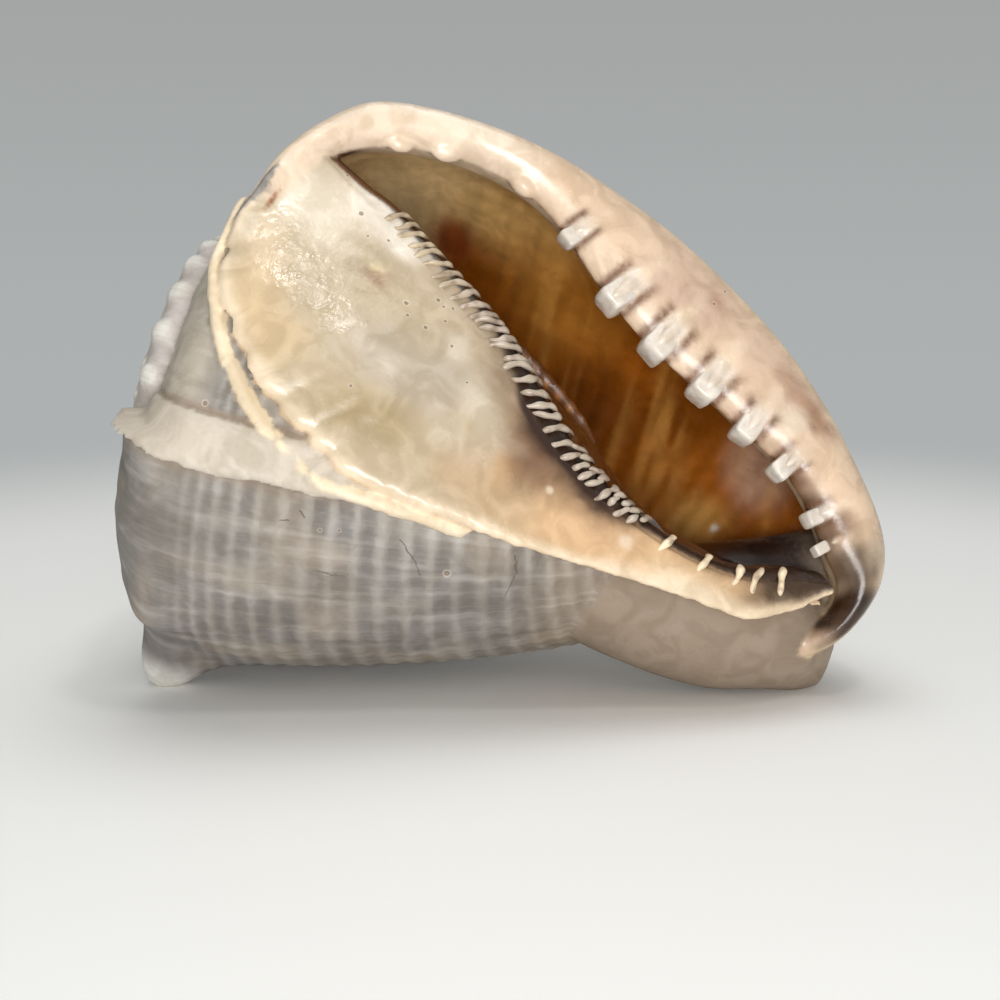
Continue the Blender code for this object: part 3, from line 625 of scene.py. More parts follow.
def add_block(lump, centre, axes, square, kind, seed):
    """Rounded block from three half axes, from a ball at square 1 towards a box at square 0."""
    angles = np.linspace(0.0, 2.0 * math.pi, 56, endpoint=False)
    x = np.sign(np.cos(angles)) * np.abs(np.cos(angles)) ** square
    y = np.sign(np.sin(angles)) * np.abs(np.sin(angles)) ** square
    rings = []
    for lift in np.linspace(-1.5, 1.5, 40):
        level = math.copysign(abs(math.sin(lift)) ** square, lift)
        width = math.cos(lift) ** square
        ring = level * axes[0] + width * (x[:, None] * axes[1] + y[:, None] * axes[2])
        uneven = 1.0 + 0.05 * noise(ring + seed * 31.0, 2.2, seed) + 0.06 * noise(ring, 4.5, seed)
        rings.append(centre + ring * uneven[:, None])
    lump.tube(rings)
    lump.sample(np.array(rings), kind, seed, np.linspace(-1.0, 1.0, 40)[:, None])


def tooth_blocks(lump, teeth, block, kind):
    """One block for every tooth given: the tooth itself, or the ridge behind it."""
    for n, (*place, half) in enumerate(teeth):
        run, into = lip_directions(place)
        directions = (flat_direction(into), flat_direction(run), MOUTH_OUT)
        centre = in_mouth(np.array(place) - into * block["back"], block["out"])
        axes = [d * half * share for d, share in zip(directions, block["axes"])]
        add_block(lump, centre, axes, block["square"], kind, n)


def add_lip_relief(lump):
    """Low lobes at the spire end of the lip's inner edge, and ridges behind the other teeth."""
    tooth_blocks(lump, TEETH[:LOBES], LOBE, LIP)
    tooth_blocks(lump, TEETH[LOBES:], RIDGE, LIP)


def add_teeth(lump):
    """Blunt teeth on the lip's inner edge."""
    tooth_blocks(lump, TEETH[LOBES:], TOOTH, LIP)


def add_fold(lump, t, span, shift, wander):
    """One fold at place t of the rim: the stretch of its course from span, moved along the rim."""
    angles = np.linspace(0.0, 2.0 * math.pi, 14, endpoint=False)[:, None]
    here, ahead = spline(SHIELD_RIM, np.array([t, t + 0.01]))
    run = unit(ahead - here)
    into = np.array([run[1], -run[0]])
    stray, reach, bend, wave = wander.uniform((-0.6, 0.7, -1.0, 0.0), (0.6, 1.4, 1.0, 6.0))
    weak = 1.0 - 0.25 * ramp(0.62, 0.86, t)
    steps = np.linspace(*span, 40)
    rings = []
    for x, (beyond, down, half) in zip(steps, spline(FOLD_PATH, steps)):
        far = beyond * (reach if beyond < 0 else 1.0)
        aside = FOLD_SLANT * far + shift + stray + bend * 0.8 * math.sin(x * 8.0 + wave)
        p = here + into * far - run * aside
        level = shield_height(*here, 1.0) + FOLD_DIP + down - 2.4 * (1.0 - weak)
        ends = math.sqrt(max(1.0 - abs(2.0 * (x - span[0]) / (span[1] - span[0]) - 1.0) ** 4, 0.02))
        width = 0.72 * half * weak * ends * (1.0 + 0.18 * math.sin(x * 21.0 + wave * 2.0))
        ring = np.cos(angles) * flat_direction(run) + np.sin(angles) * MOUTH_OUT
        rings.append(in_mouth(p, level) + width * ring)
    lump.tube(rings)
    lump.sample(np.array(rings), ROLLED, t, steps[:, None])


def add_folds(lump):
    """Short wavy folds that cross the columella's rim, in two rows towards the canal."""
    wander = np.random.default_rng(FOLD_SEED)
    for t in FOLDS_AT_CANAL:
        add_fold(lump, t, CANAL_FOLD_SPAN, 0.0, wander)
    for t in np.linspace(*FOLD_SPAN, FINE_FOLDS):
        for row, span in enumerate(ROW_SPANS if t < TWO_ROWS else [(0.0, 1.0)]):
            add_fold(lump, t, span, row * ROW_SHIFT, wander)


def add_old_lip(lump):
    """The old outer lip, a thin ledge left across the whorl where growth once paused."""
    v = np.linspace(0.0, LEDGE_REACH, 300)[:, None]
    sides = []
    for side in (LEDGE, LEDGE_UNDER):
        dense = spline(side, np.linspace(0.0, 1.0, 36))
        place = np.stack([v[:, 0] * 200.0, np.zeros(len(v))], -1)
        ragged = noise(place, 9.0, 6)[:, None] * 0.5 + noise(place, 3.0, 7)[:, None] * 0.35
        ragged = ragged * ramp(0.05, 0.15, v)
        theta = OLD_LIP + dense[None, :, 0] + ragged * ramp(-9.0, 1.0, dense[None, :, 0])
        section, normal = whorl_frame(theta, v * np.ones_like(theta))
        sides.append(around(section + normal * dense[None, :, 1:], theta))
    lump.sheet(sides[0], sides[1])
    for side in sides:
        lump.sample(side, FLANGE, v, np.linspace(0.0, 1.0, 36)[None, :])


def read(items, key, width, kind=np.float32):
    """Values of mesh items as rows of an array."""
    values = np.empty(len(items) * width, kind)
    items.foreach_get(key, values)
    return values.reshape(-1, width)


def read_points(mesh):
    return read(mesh.vertices, "co", 3).astype(float)


def read_normals(mesh):
    return read(mesh.vertices, "normal", 3).astype(float)


def evaluated_copy(obj, name):
    """New mesh of the object with its modifiers applied."""
    graph = bpy.context.evaluated_depsgraph_get()
    mesh = bpy.data.meshes.new_from_object(obj.evaluated_get(graph))
    mesh.name = name
    return mesh


def turned(directions):
    """Directions of the shell's frame from directions in the scene."""
    return directions @ TURN / MM


def lookup(lump, points):
    """Nearest sample of each point, as its kind and its two places."""
    samples, kinds = np.concatenate(lump.samples), np.concatenate(lump.kinds)
    places = np.concatenate(lump.places)
    tree = KDTree(len(samples))
    for i, p in enumerate(samples.tolist()):
        tree.insert(p, i)
    tree.balance()
    nearest = np.array([tree.find(p)[1] for p in points.tolist()])
    return kinds[nearest], places[nearest]


def spread(values, edges, rounds):
    """Values averaged with those of the neighbouring points, some rounds."""
    count = np.bincount(edges.ravel(), minlength=len(values))
    for _ in range(rounds):
        total = np.bincount(edges[:, 0], values[edges[:, 1]], len(values)) \
            + np.bincount(edges[:, 1], values[edges[:, 0]], len(values))
        values = 0.4 * values + 0.6 * total / np.maximum(count, 1)
    return values


def count_triangles(mesh):
    """Number of triangles of a mesh that isn't needed after this."""
    mesh.calc_loop_triangles()
    count = len(mesh.loop_triangles)
    bpy.data.meshes.remove(mesh)
    return count


def build_fused():
    """All parts but the teeth and folds, fused at fine size and cut flat where the shell stands."""
    lump = Lump()
    for add in (add_whorls, add_spire_top, add_canal, add_shield, add_old_rim, add_lip, add_lip_relief,
                add_old_lip):
        add(lump)
    rough = bpy.data.objects.new("rough", lump.mesh("rough"))
    bpy.context.scene.collection.objects.link(rough)
    fuse = rough.modifiers.new("Fuse", "REMESH")
    fuse.mode = "VOXEL"
    fuse.voxel_size = VOXEL
    soften = rough.modifiers.new("Soften", "SMOOTH")
    soften.factor = 0.5
    soften.iterations = 2
    count = count_triangles(evaluated_copy(rough, "dense"))
    simplify = rough.modifiers.new("Simplify", "DECIMATE")
    simplify.ratio = min(1.0, ALL_TRIANGLES / count)
    fused = evaluated_copy(rough, "fused")
    bpy.data.objects.remove(rough)
    points = read_points(fused)
    points[:, 2] = np.maximum(points[:, 2], 0.0)
    fused.vertices.foreach_set("co", points.astype(np.float32).ravel())
    fused.update()
    return lump, fused


def in_outline(points, outline):
    """Whether points of a plane lie inside a closed outline."""
    inside = np.zeros(len(points), bool)
    for (x0, y0), (x1, y1) in zip(outline, outline[1:] + outline[:1]):
        crosses = (y0 > points[:, 1]) != (y1 > points[:, 1])
        if y0 != y1:
            inside ^= crosses & (points[:, 0] < x0 + (points[:, 1] - y0) * (x1 - x0) / (y1 - y0))
    return inside


def blotches(colour, place, marks, uneven):
    """Lays soft blotches over the colour: each is (middle, half sizes, tone, strength)."""
    for middle, sizes, tone, strength in marks:
        away = (place - np.array(middle, float)) / np.array(sizes, float)
        mask = strength * ramp(1.45, 0.35, np.linalg.norm(away, axis=-1) + 0.3 * uneven)
        colour = colour + (np.array(tone) - colour) * mask[:, None]
    return colour


def layered(colour, layers):
    """The colour with tones laid over it in turn, each by a mask from 0 to 1."""
    for tone, mask in layers:
        colour = colour + (np.array(tone) - colour) * np.clip(mask, 0.0, 1.0)[:, None]
    return colour


def paint_outside(points, theta, v):
    """Chalky grey and cream, with white spiral bands, growth lines and a little brown; painted shade along
    the old lip's ledge and low on the whorl towards the canal.
    """
    wide, middling = noise(points, 34.0, 31), noise(points, 11.0, 32)
    shoulder = ramp(0.42, 0.3, v) * (theta < OLD_LIP)
    bands = ramp(-0.1, 0.8, np.cos(2.0 * math.pi * CORDS * v) + 0.35 * middling)
    patchy = 0.5 + 0.5 * ramp(-0.5, 0.4, noise(points, 26.0, 33))
    colour = layered(np.array(BODY_GREY), [
        (BODY_LILAC, 0.5 + 0.6 * wide),
        (BODY_IVORY, 0.85 * shoulder + 0.25 * ramp(0.1, 0.7, middling)),
        (BODY_WHITE, 0.95 * bands * patchy * ramp(0.34, 0.44, v))])
    across = np.stack([theta * 1.2, v * 12.0], -1)
    lines = noise(across, 1.6, 34) * 0.6 + noise(across, 4.2, 35) * 0.4
    colour = colour * (1.0 - 0.14 * ramp(-0.2, 0.8, lines))[:, None]
    # Painted shade low on the whorl towards the canal, near the floor, laid in the fasciole's grey
    canal = ramp(104.0, 128.0, points[:, 0] + 5.0 * wide) * ramp(0.0, -14.0, points[:, 2])
    # Painted shade by the old lip's ledge: a dark line in the crease at the foot of its upper edge, and a
    # painted shadow on the whorl just under its overhanging lower edge
    from_ledge = theta - OLD_LIP
    above = ramp(1.7, 0.6, np.abs(from_ledge + 8.6 + 0.5 * middling))
    below = ramp(0.5, 1.5, from_ledge) * ramp(6.5, 2.0, from_ledge)
    ledge_shade = ramp(LEDGE_REACH + 0.02, LEDGE_REACH - 0.05, v) * np.maximum(0.95 * above, 0.9 * below)
    stain = ramp(0.35, 0.8, noise(points, 17.0, 36) + 0.4 * middling)
    knobbed = sum(knobs(row, theta, v) / row["height"] for row in (BODY_KNOB, SPIRE_KNOB))
    return layered(colour, [
        (FASCIOLE_GREY_AND_LOW_SHADE, 0.6 * canal),
        (SHADE_AND_DIRT_BROWN, ledge_shade),
        (BODY_STAIN, 0.22 * stain),
        (SPIRE_LILAC, 0.6 * ramp(SPIRE_KNOB["last"], SPIRE_KNOB["last"] - 20.0, theta)),
        (KNOB_WHITE, 0.8 * ramp(0.25, 0.8, knobbed)),
        (BODY_STAIN, 0.5 * ramp(0.035, 0.0, v) * ramp(-0.3, 0.5, middling))])


def paint_inside(points, theta):
    """Orange brown with soft streaks, golden near the spire end as painted light through the thin wall, and
    dark by the columella and towards the canal as painted shade.
    """
    streak_place = np.stack([points[:, 0], theta * 0.12], -1)
    streaks = noise(streak_place, 5.0, 41) * 0.6 + noise(streak_place, 2.0, 42) * 0.4
    uneven = 0.7 * noise(points, 18.0, 43) + 0.5 * streaks
    colour = blotches(np.array(INSIDE_BROWN), points, INSIDE_TONE_LIGHT_AND_SHADE_MARKS, uneven)
    colour = layered(colour, [(INSIDE_GOLD, 0.35 * ramp(0.0, 0.8, streaks))])
    return colour * (1.0 - 0.22 * ramp(0.0, 0.8, -streaks))[:, None]


def paint_shield(plane, t, inward):
    """Ivory and peach glaze, marbled in the middle, dark by the folds and at the canal."""
    uneven = noise(plane, 9.0, 51) + 0.5 * noise(plane, 3.5, 52)
    wide = noise(plane, 24.0, 53)
    along, across = plane.T
    colour = layered(np.array(SHIELD_IVORY), [(SHIELD_PEACH, ramp(70.0, 115.0, along + 8.0 * wide))])
    colour = blotches(colour, plane, SHIELD_MARKS, uneven)
    marble = ramp(0.1, 0.75, noise(plane * (1.0, 1.7), 7.0, 54) + 0.35 * wide)
    in_middle = np.exp(-(((along - 60.0) / 26.0) ** 2) - ((across + 1.0) / 17.0) ** 2)
    from_rim, from_edge = (np.linalg.norm(plane - spline(line, t), axis=-1)
                           for line in (SHIELD_RIM, SHIELD_EDGE))
    haze = ramp(16.0, 3.5, from_rim + 4.0 * uneven) * ramp(0.68, 0.48, t) * ramp(0.26, 0.36, t)
    in_folds = ramp(0.27, 0.37, t + 0.01 * uneven)
    reach = 1.2 + 6.6 * in_folds * ramp(0.62, 0.48, t)
    near = ramp(reach + 1.2, reach - 1.2, from_rim + 1.3 * uneven)
    canal = ramp(0.19, 0.10, t) * ramp(0.16, 0.42, inward + 0.08 * uneven)
    return layered(colour, [
        (MARBLE_WHITE, 0.75 * marble * in_middle),
        (EDGE_CREAM, 0.75 * ramp(4.5, 1.5, from_edge + 1.2 * uneven)),
        (HAZE_PURPLE, 0.88 * haze),
        (FOLD_BLACK_AND_SHADE, near * (0.04 + 0.93 * ramp(0.72, 0.56, t) * (0.3 + 0.7 * in_folds))),
        (FOLD_BLACK_AND_SHADE, 0.95 * canal)])


def paint_lip(plane, share):
    """Peach glaze with pink and brown clouds, pale at the outer edge and the teeth, with painted highlights
    on the ridges behind the teeth and on one cloud, and painted shade in the gaps beside the teeth and at
    the canal end.
    """
    uneven = noise(plane, 8.0, 61) + 0.5 * noise(plane, 3.0, 62)
    wide = noise(plane * (0.7, 1.0), 20.0, 63)
    along = plane[:, 0]
    colour = layered(np.array(LIP_PEACH), [(LIP_CREAM, ramp(78.0, 40.0, along + 10.0 * wide))])
    colour = blotches(colour, plane, LIP_MARKS_WITH_HIGHLIGHT_AND_SHADE, uneven)
    by_teeth = ramp(0.66, 0.78, share) * ramp(0.97, 0.9, share)
    inner_edge = ramp(0.955, 0.995, share + 0.02 * uneven)
    colour = layered(colour, [
        (LIP_PINK, 0.35 * ramp(0.1, 0.7, wide + 0.3 * uneven) * ramp(50.0, 90.0, along)),
        (LIP_EDGE_YELLOW, 0.8 * ramp(0.16, 0.04, share + 0.03 * uneven)),
        (LIP_CREAM, 0.55 * by_teeth * ramp(150.0, 120.0, along)),
        (LIP_BROWN, 0.65 * inner_edge * ramp(60.0, 85.0, along))])
    for *place, half in TEETH[LOBES:]:
        run, into = lip_directions(place)
        offset = plane - np.array(place)
        side, ahead = np.abs(offset @ run) / half + 0.06 * uneven, offset @ into / half
        reach = ramp(-1.7, -1.0, ahead + 0.25 * uneven) * ramp(1.5, 1.0, ahead)
        # Painted shade in the narrow gaps along both sides of each tooth
        tooth_gap_shade = ramp(0.6, 0.72, side) * ramp(1.2, 0.95, side) * reach
        cap = ramp(0.7, 0.45, side) * ramp(-1.7, -0.8, ahead)
        # A painted highlight along the middle of the ridge behind the tooth
        ridge = ramp(0.5, 0.2, side) * ramp(-3.4, -2.4, ahead) * ramp(-0.6, -1.2, ahead)
        colour = layered(colour, [
            (TOOTH_GAP_SHADE_BROWN, 0.9 * tooth_gap_shade),
            (TOOTH_WHITE, 0.7 * cap * ramp(1.8, 1.3, ahead)),
            (LIP_CREAM, 0.45 * ridge)])
    return colour


def in_mouth_kinds(mouth, kinds, theta, v):
    """Which points are inside the mouth, and which of them are the inner whorl's outside."""
    plane, out = mouth[:, :2], mouth[:, 2]
    past_mouth = (plane[:, 0] > 168.0) & (plane[:, 1] < -9.0)
    seen = in_outline(plane, SHIELD_RIM + LIP_INNER) & (out < -1.0) & ~past_mouth
    parietal = (kinds == OUTSIDE) & (theta < -280.0) & (theta > -440.0) & (v > 0.36) & seen
    behind_lip = (kinds == LIP_UNDER) & (plane[:, 0] > 30.0)
    inner = (kinds == INSIDE) | parietal | ((np.isin(kinds, (STEM, ROLLED)) | behind_lip) & seen)
    return inner, parietal


def hollow_shade_and_wear(colour, gloss, points, normals, edges):
    """The colour with painted shade in the hollows and worn white on the ridges of the dull surfaces."""
    smooth = np.stack([spread(points[:, c], edges, 8) for c in range(3)], -1)
    hollow = ((smooth - points) * normals).sum(-1)
    # Painted shade: browner where the surface lies below its smoothed neighbours
    hollow_shade = ramp(0.05, 0.5, hollow) * np.where(gloss < 0.4, 1.0, 0.2)
    worn = ramp(0.05, 0.45, -hollow) * (gloss < 0.6)
    return layered(colour, [(SHADE_AND_DIRT_BROWN, 0.55 * hollow_shade), (BODY_WHITE, 0.35 * worn)])


def paint(points, normals, edges, kinds, places):
    """Colour, gloss, and place on the coil, of every point of the fused shell."""
    mouth = to_mouth(points)
    plane, out = mouth[:, :2], mouth[:, 2]
    angle = np.degrees(np.arctan2(points[:, 1], points[:, 2]))
    coiled = np.isin(kinds, (OUTSIDE, INSIDE))
    theta = np.where(coiled, angle + 360.0 * np.round((places[:, 0] - angle) / 360.0), angle)
    v = np.where(coiled, places[:, 1], 0.5)
    inner, parietal = in_mouth_kinds(mouth, kinds, theta, v)
    t, share = places[:, 0], places[:, 1]
    uneven = noise(points, 6.0, 71) + 0.5 * noise(points, 2.4, 72)
    colour, gloss = np.tile(BODY_GREY, (len(points), 1)), np.zeros(len(points))
    for where, tone, shine in (
            (kinds == OUTSIDE, paint_outside(points, theta, v), 0.12),
            (kinds == STEM, FASCIOLE_GREY_AND_LOW_SHADE, 0.1),
            (inner, paint_inside(points, theta), 0.8),
            (kinds == SHIELD, paint_shield(plane, np.where(kinds == SHIELD, t, 0.5), share), 1.0),
            (kinds == LIP, paint_lip(plane, np.where(kinds == LIP, share, 0.5)), 0.95),
            ((kinds == UNDER) | (kinds == LIP_UNDER) & ~inner, UNDER_TAN, 0.3),
            (kinds == RIM, RIM_CREAM, 0.45),
            (kinds == FLANGE, FLANGE_CREAM, 0.3)):
        colour = np.where(where[:, None], tone, colour)
        gloss = np.where(where, shine, gloss)
    rim_line = spline(SHIELD_RIM, np.linspace(0.05, 0.98, 60))
    to_rim = np.min([np.hypot(*(plane - p).T) for p in rim_line], axis=0)
    by_rim = inner & (out > -45.0) & (kinds != INSIDE)
    at_rim, curled = (kinds == ROLLED) & (share < 0.45), (kinds == ROLLED) & (share >= 0.45)
    canal_shade = np.exp(-(((plane - np.array([163.0, -4.0])) / np.array([9.0, 6.0])) ** 2).sum(-1))
    # Brown grime on the flange and stem; painted shade on the inner walls under the columella's rim, on the
    # rim's curl into the mouth and in the canal's opening; dark fold grooves at the rim
    colour = layered(colour, [
        (SHADE_AND_DIRT_BROWN, 0.25 * np.isin(kinds, (FLANGE, STEM)) * ramp(0.2, 0.9, uneven)),
        (DEEP_SHADE_BROWN, 0.88 * by_rim * ramp(36.0, 20.0, to_rim + 3.0 * uneven)
         * ramp(4.0, 16.0, plane[:, 0])),
        (DEEP_SHADE_BROWN, 0.85 * curled),
        (FOLD_BLACK_AND_SHADE, at_rim * (0.12 + 0.83 * ramp(0.76, 0.6, t))),
        (FOLD_BLACK_AND_SHADE, 1.3 * canal_shade * (out < 2.0) * (kinds != SHIELD))])
    # Painted shade in the deep corners of the mouth
    hidden = ~np.isin(kinds, (SHIELD, LIP))
    for tone, middle, sizes in CORNER_SHADE_MARKS:
        away = ((points - np.array(middle, float)) / np.array(sizes, float)) ** 2
        colour = layered(colour, [(tone, 1.5 * hidden * np.exp(-away.sum(-1)))])
    colour = np.stack([spread(colour[:, c], edges, 1) for c in range(3)], -1)
    gloss = spread(gloss, edges, 2)
    coil = np.stack([theta / 360.0, v, (kinds == OUTSIDE) & ~parietal], -1)
    return hollow_shade_and_wear(colour, gloss, points, normals, edges), gloss, coil


def set_attributes(mesh, colour, gloss, coil, points):
    """Keeps the painting with the mesh, as attributes that the material reads."""
    tint = np.concatenate([np.clip(colour, 0.0, 1.0), np.ones((len(colour), 1))], 1)
    for name, kind, key, values in (("tint", "FLOAT_COLOR", "color", tint),
                                    ("gloss", "FLOAT", "value", gloss),
                                    ("coil", "FLOAT_VECTOR", "vector", coil),
                                    ("place", "FLOAT_VECTOR", "vector", points),
                                    ("mouth", "FLOAT_VECTOR", "vector", to_mouth(points))):
        attribute = mesh.attributes.new(name, kind, "POINT")
        attribute.data.foreach_set(key, np.asarray(values, np.float32).ravel())


def add_piece(name, mesh, material):
    """One visible piece of the shell, which stands for the solid node."""
    piece = bpy.data.objects.new(name, mesh)
    bpy.context.scene.collection.objects.link(piece)
    mesh.materials.clear()
    mesh.materials.append(material)
    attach(piece, "root")
    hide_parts("shell")


def split_fused(fused, material, painted):
    """Cuts the fused mesh across the axis into pieces small enough, with their normals kept."""
    fused.calc_loop_triangles()
    faces = read(fused.loop_triangles, "vertices", 3, np.int32)
    points, normals = read_points(fused), read_normals(fused)
    along = painted["points"][faces, 0].mean(axis=1)
    count = math.ceil(len(faces) / MOST_TRIANGLES)
    bounds = np.quantile(along, np.linspace(0.0, 1.0, count + 1))
    for n, (low, high) in enumerate(zip(bounds[:-1], bounds[1:])):
        chosen = faces[(along >= low) & ((along < high) | (n == count - 1))]
        used, index = np.unique(chosen, return_inverse=True)
        mesh = bpy.data.meshes.new(f"shell_{n + 1}")
        mesh.from_pydata(points[used], [], index.reshape(-1, 3))
        mesh.polygons.foreach_set("use_smooth", np.ones(len(mesh.polygons), bool))
        mesh.normals_split_custom_set_from_vertices(normals[used].tolist())
        set_attributes(mesh, *(painted[key][used] for key in ("colour", "gloss", "coil", "points")))
        add_piece(f"king_helmet_shell_{n + 1}", mesh, material)


def add_small_piece(name, add, material, tones):
    """Teeth or folds as a crisp piece of their own, set into the fused shell."""
    lump = Lump()
    add(lump)
    mesh = lump.mesh(name)
    mesh.polygons.foreach_set("use_smooth", np.ones(len(mesh.polygons), bool))
    points = to_shell(read_points(mesh))
    _, places = lookup(lump, points)
    colour = tones(points, places)
    gloss = np.full(len(points), 0.9)
    coil = np.zeros((len(points), 3))
    set_attributes(mesh, colour, gloss, coil, points)
    bm = bmesh.new()
    bm.from_mesh(mesh)
    bmesh.ops.recalc_face_normals(bm, faces=bm.faces)
    bm.to_mesh(mesh)
    bm.free()
    add_piece(name, mesh, material)


def tooth_tones(points, _):
    """White with grey clouds, and brown at the tooth's root."""
    uneven = noise(points, 1.8, 81)
    root = ramp(-0.5, -2.6, to_mouth(points)[:, 2])
    return layered(np.array(TOOTH_WHITE), [(TOOTH_GREY, 0.2 + 0.4 * uneven), (LIP_BROWN, 0.5 * root)])


def fold_tones(points, places):
    """Grey crests that fade into the shield at one end, and at the other, where they dip into the mouth,
    into dark brown as painted shade.
    """
    t, x = places[:, 0], places[:, 1]
    crest = np.where((t < 0.28)[:, None], np.array(RIM_CREAM), np.array(FOLD_WHITE))
    return layered(crest, [
        (SHIELD_IVORY, ramp(0.66, 0.8, t)),
        (HAZE_PURPLE, 0.75 * ramp(0.26, 0.02, x) * ramp(0.8, 0.6, t)),
        # Painted shade where the fold dips into the mouth
        (DEEP_SHADE_BROWN, 0.9 * ramp(0.6, 0.9, x)),
        (HAZE_PURPLE, 0.6 * ramp(0.0, 0.8, noise(points, 1.6, 82)))])


class Graph:
    """Short calls for building the nodes of one material."""

    def __init__(self, tree):
        self.tree = tree

    def put(self, socket, value):
        if isinstance(value, bpy.types.NodeSocket):
            self.tree.links.new(value, socket)
        else:
            socket.default_value = value

    def add(self, kind, *values, **settings):
        node = self.tree.nodes.new("ShaderNode" + kind)
        for name, value in settings.items():
            setattr(node, name, value)
        for socket, value in zip(node.inputs, values):
            self.put(socket, value)
        return node

    def math(self, operation, *values):
        return self.add("Math", *values, operation=operation).outputs[0]

    def span(self, value, low, high, first=0.0, last=1.0):
        node = self.add("MapRange", value, low, high, first, last, interpolation_type="SMOOTHSTEP")
        return node.outputs[0]

    def times(self, a, b):
        return self.math("MULTIPLY", a, b)

    def part(self, vector, index):
        return self.add("SeparateXYZ", vector).outputs[index]

    def mix(self, factor, a, b):
        node = self.add("Mix", data_type="RGBA")
        for index, value in ((0, factor), (6, a), (7, b)):
            self.put(node.inputs[index], value)
        return node.outputs[2]

    def noise(self, place, size, detail=2.0, distortion=0.0):
        node = self.add("TexNoise")
        for name, value in (("Vector", place), ("Scale", 1.0 / size), ("Detail", detail),
                            ("Distortion", distortion)):
            self.put(node.inputs[name], value)
        return node.outputs[0]

    def attribute(self, name, output):
        return self.add("Attribute", attribute_name=name).outputs[output]

    def distance(self, a, b):
        return self.add("VectorMath", a, b, operation="DISTANCE").outputs["Value"]

    def from_line(self, place, start, end):
        """Distance from a straight line between two points."""
        course = Vector(end) - Vector(start)
        offset = self.add("VectorMath", place, tuple(start), operation="SUBTRACT").outputs[0]
        share = self.add("VectorMath", offset, tuple(course / course.length_squared),
                         operation="DOT_PRODUCT").outputs["Value"]
        held = self.add("Clamp", share, 0.0, 1.0).outputs[0]
        scaled = self.add("VectorMath", tuple(course), operation="SCALE")
        self.put(scaled.inputs["Scale"], held)
        return self.distance(offset, scaled.outputs[0])

    def stretch(self, vector, factors):
        return self.add("VectorMath", vector, factors, operation="MULTIPLY").outputs[0]


def nearest(graph, distances):
    """Distance to the nearest of some marks, each as a share of its own size."""
    shares = [graph.math("DIVIDE", distance, size) for distance, size in distances]
    least = shares[0]
    for share in shares[1:]:
        least = graph.math("MINIMUM", least, share)
    return least


def round_marks(graph, flat, marks):
    """Nearness to round marks of a plane, given as (x, y, radius)."""
    return nearest(graph, [(graph.distance(flat, (x, y, 0.0)), radius) for x, y, radius in marks])


def tone_nodes(g, place, coil, gloss, lines, speck):
    """The painted tone with growth lines, chalky specks and soft clouds."""
    outside = g.part(coil, 2)
    chalk = g.math("SUBTRACT", 1.0, gloss)
    wide_lines = g.noise(g.stretch(coil, WIDE_LINES), 1.0, 3.0)
    colour = g.attribute("tint", "Color")
    for value, low, high, share, amount, tone in (
            (lines, 0.45, 0.75, outside, 0.28, (0.33, 0.29, 0.25, 1.0)),
            (wide_lines, 0.48, 0.72, outside, 0.14, (0.80, 0.78, 0.74, 1.0)),
            (speck, 0.5, 0.75, chalk, 0.22, (0.30, 0.25, 0.20, 1.0))):
        colour = g.mix(g.times(g.span(value, low, high), g.times(share, amount)), colour, tone)
    cloud = g.noise(place, 9.0, 4.0, 1.2)
    return g.mix(g.span(cloud, 0.35, 0.65), g.stretch(colour, (0.88, 0.86, 0.82)),
                 g.stretch(colour, (1.08, 1.08, 1.08)))


def crack_nodes(g, from_front):
    """How far a place of the outside's front is inside one of its hairline cracks."""
    wander = g.add("TexNoise")
    for name, value in (("Vector", from_front), ("Scale", 0.5), ("Detail", 3.0)):
        g.put(wander.inputs[name], value)
    wander = g.add("VectorMath", g.stretch(wander.outputs["Color"], (2.4, 2.4, 0.0)), (-1.2, -1.2, 0.0),
                   operation="ADD").outputs[0]
    strayed = g.add("VectorMath", from_front, wander, operation="ADD").outputs[0]
    away = [(g.from_line(strayed, (*start, 0.0), (*end, 0.0)), width) for start, end, width in CRACKS]
    return g.span(nearest(g, away), 1.0, 0.4)


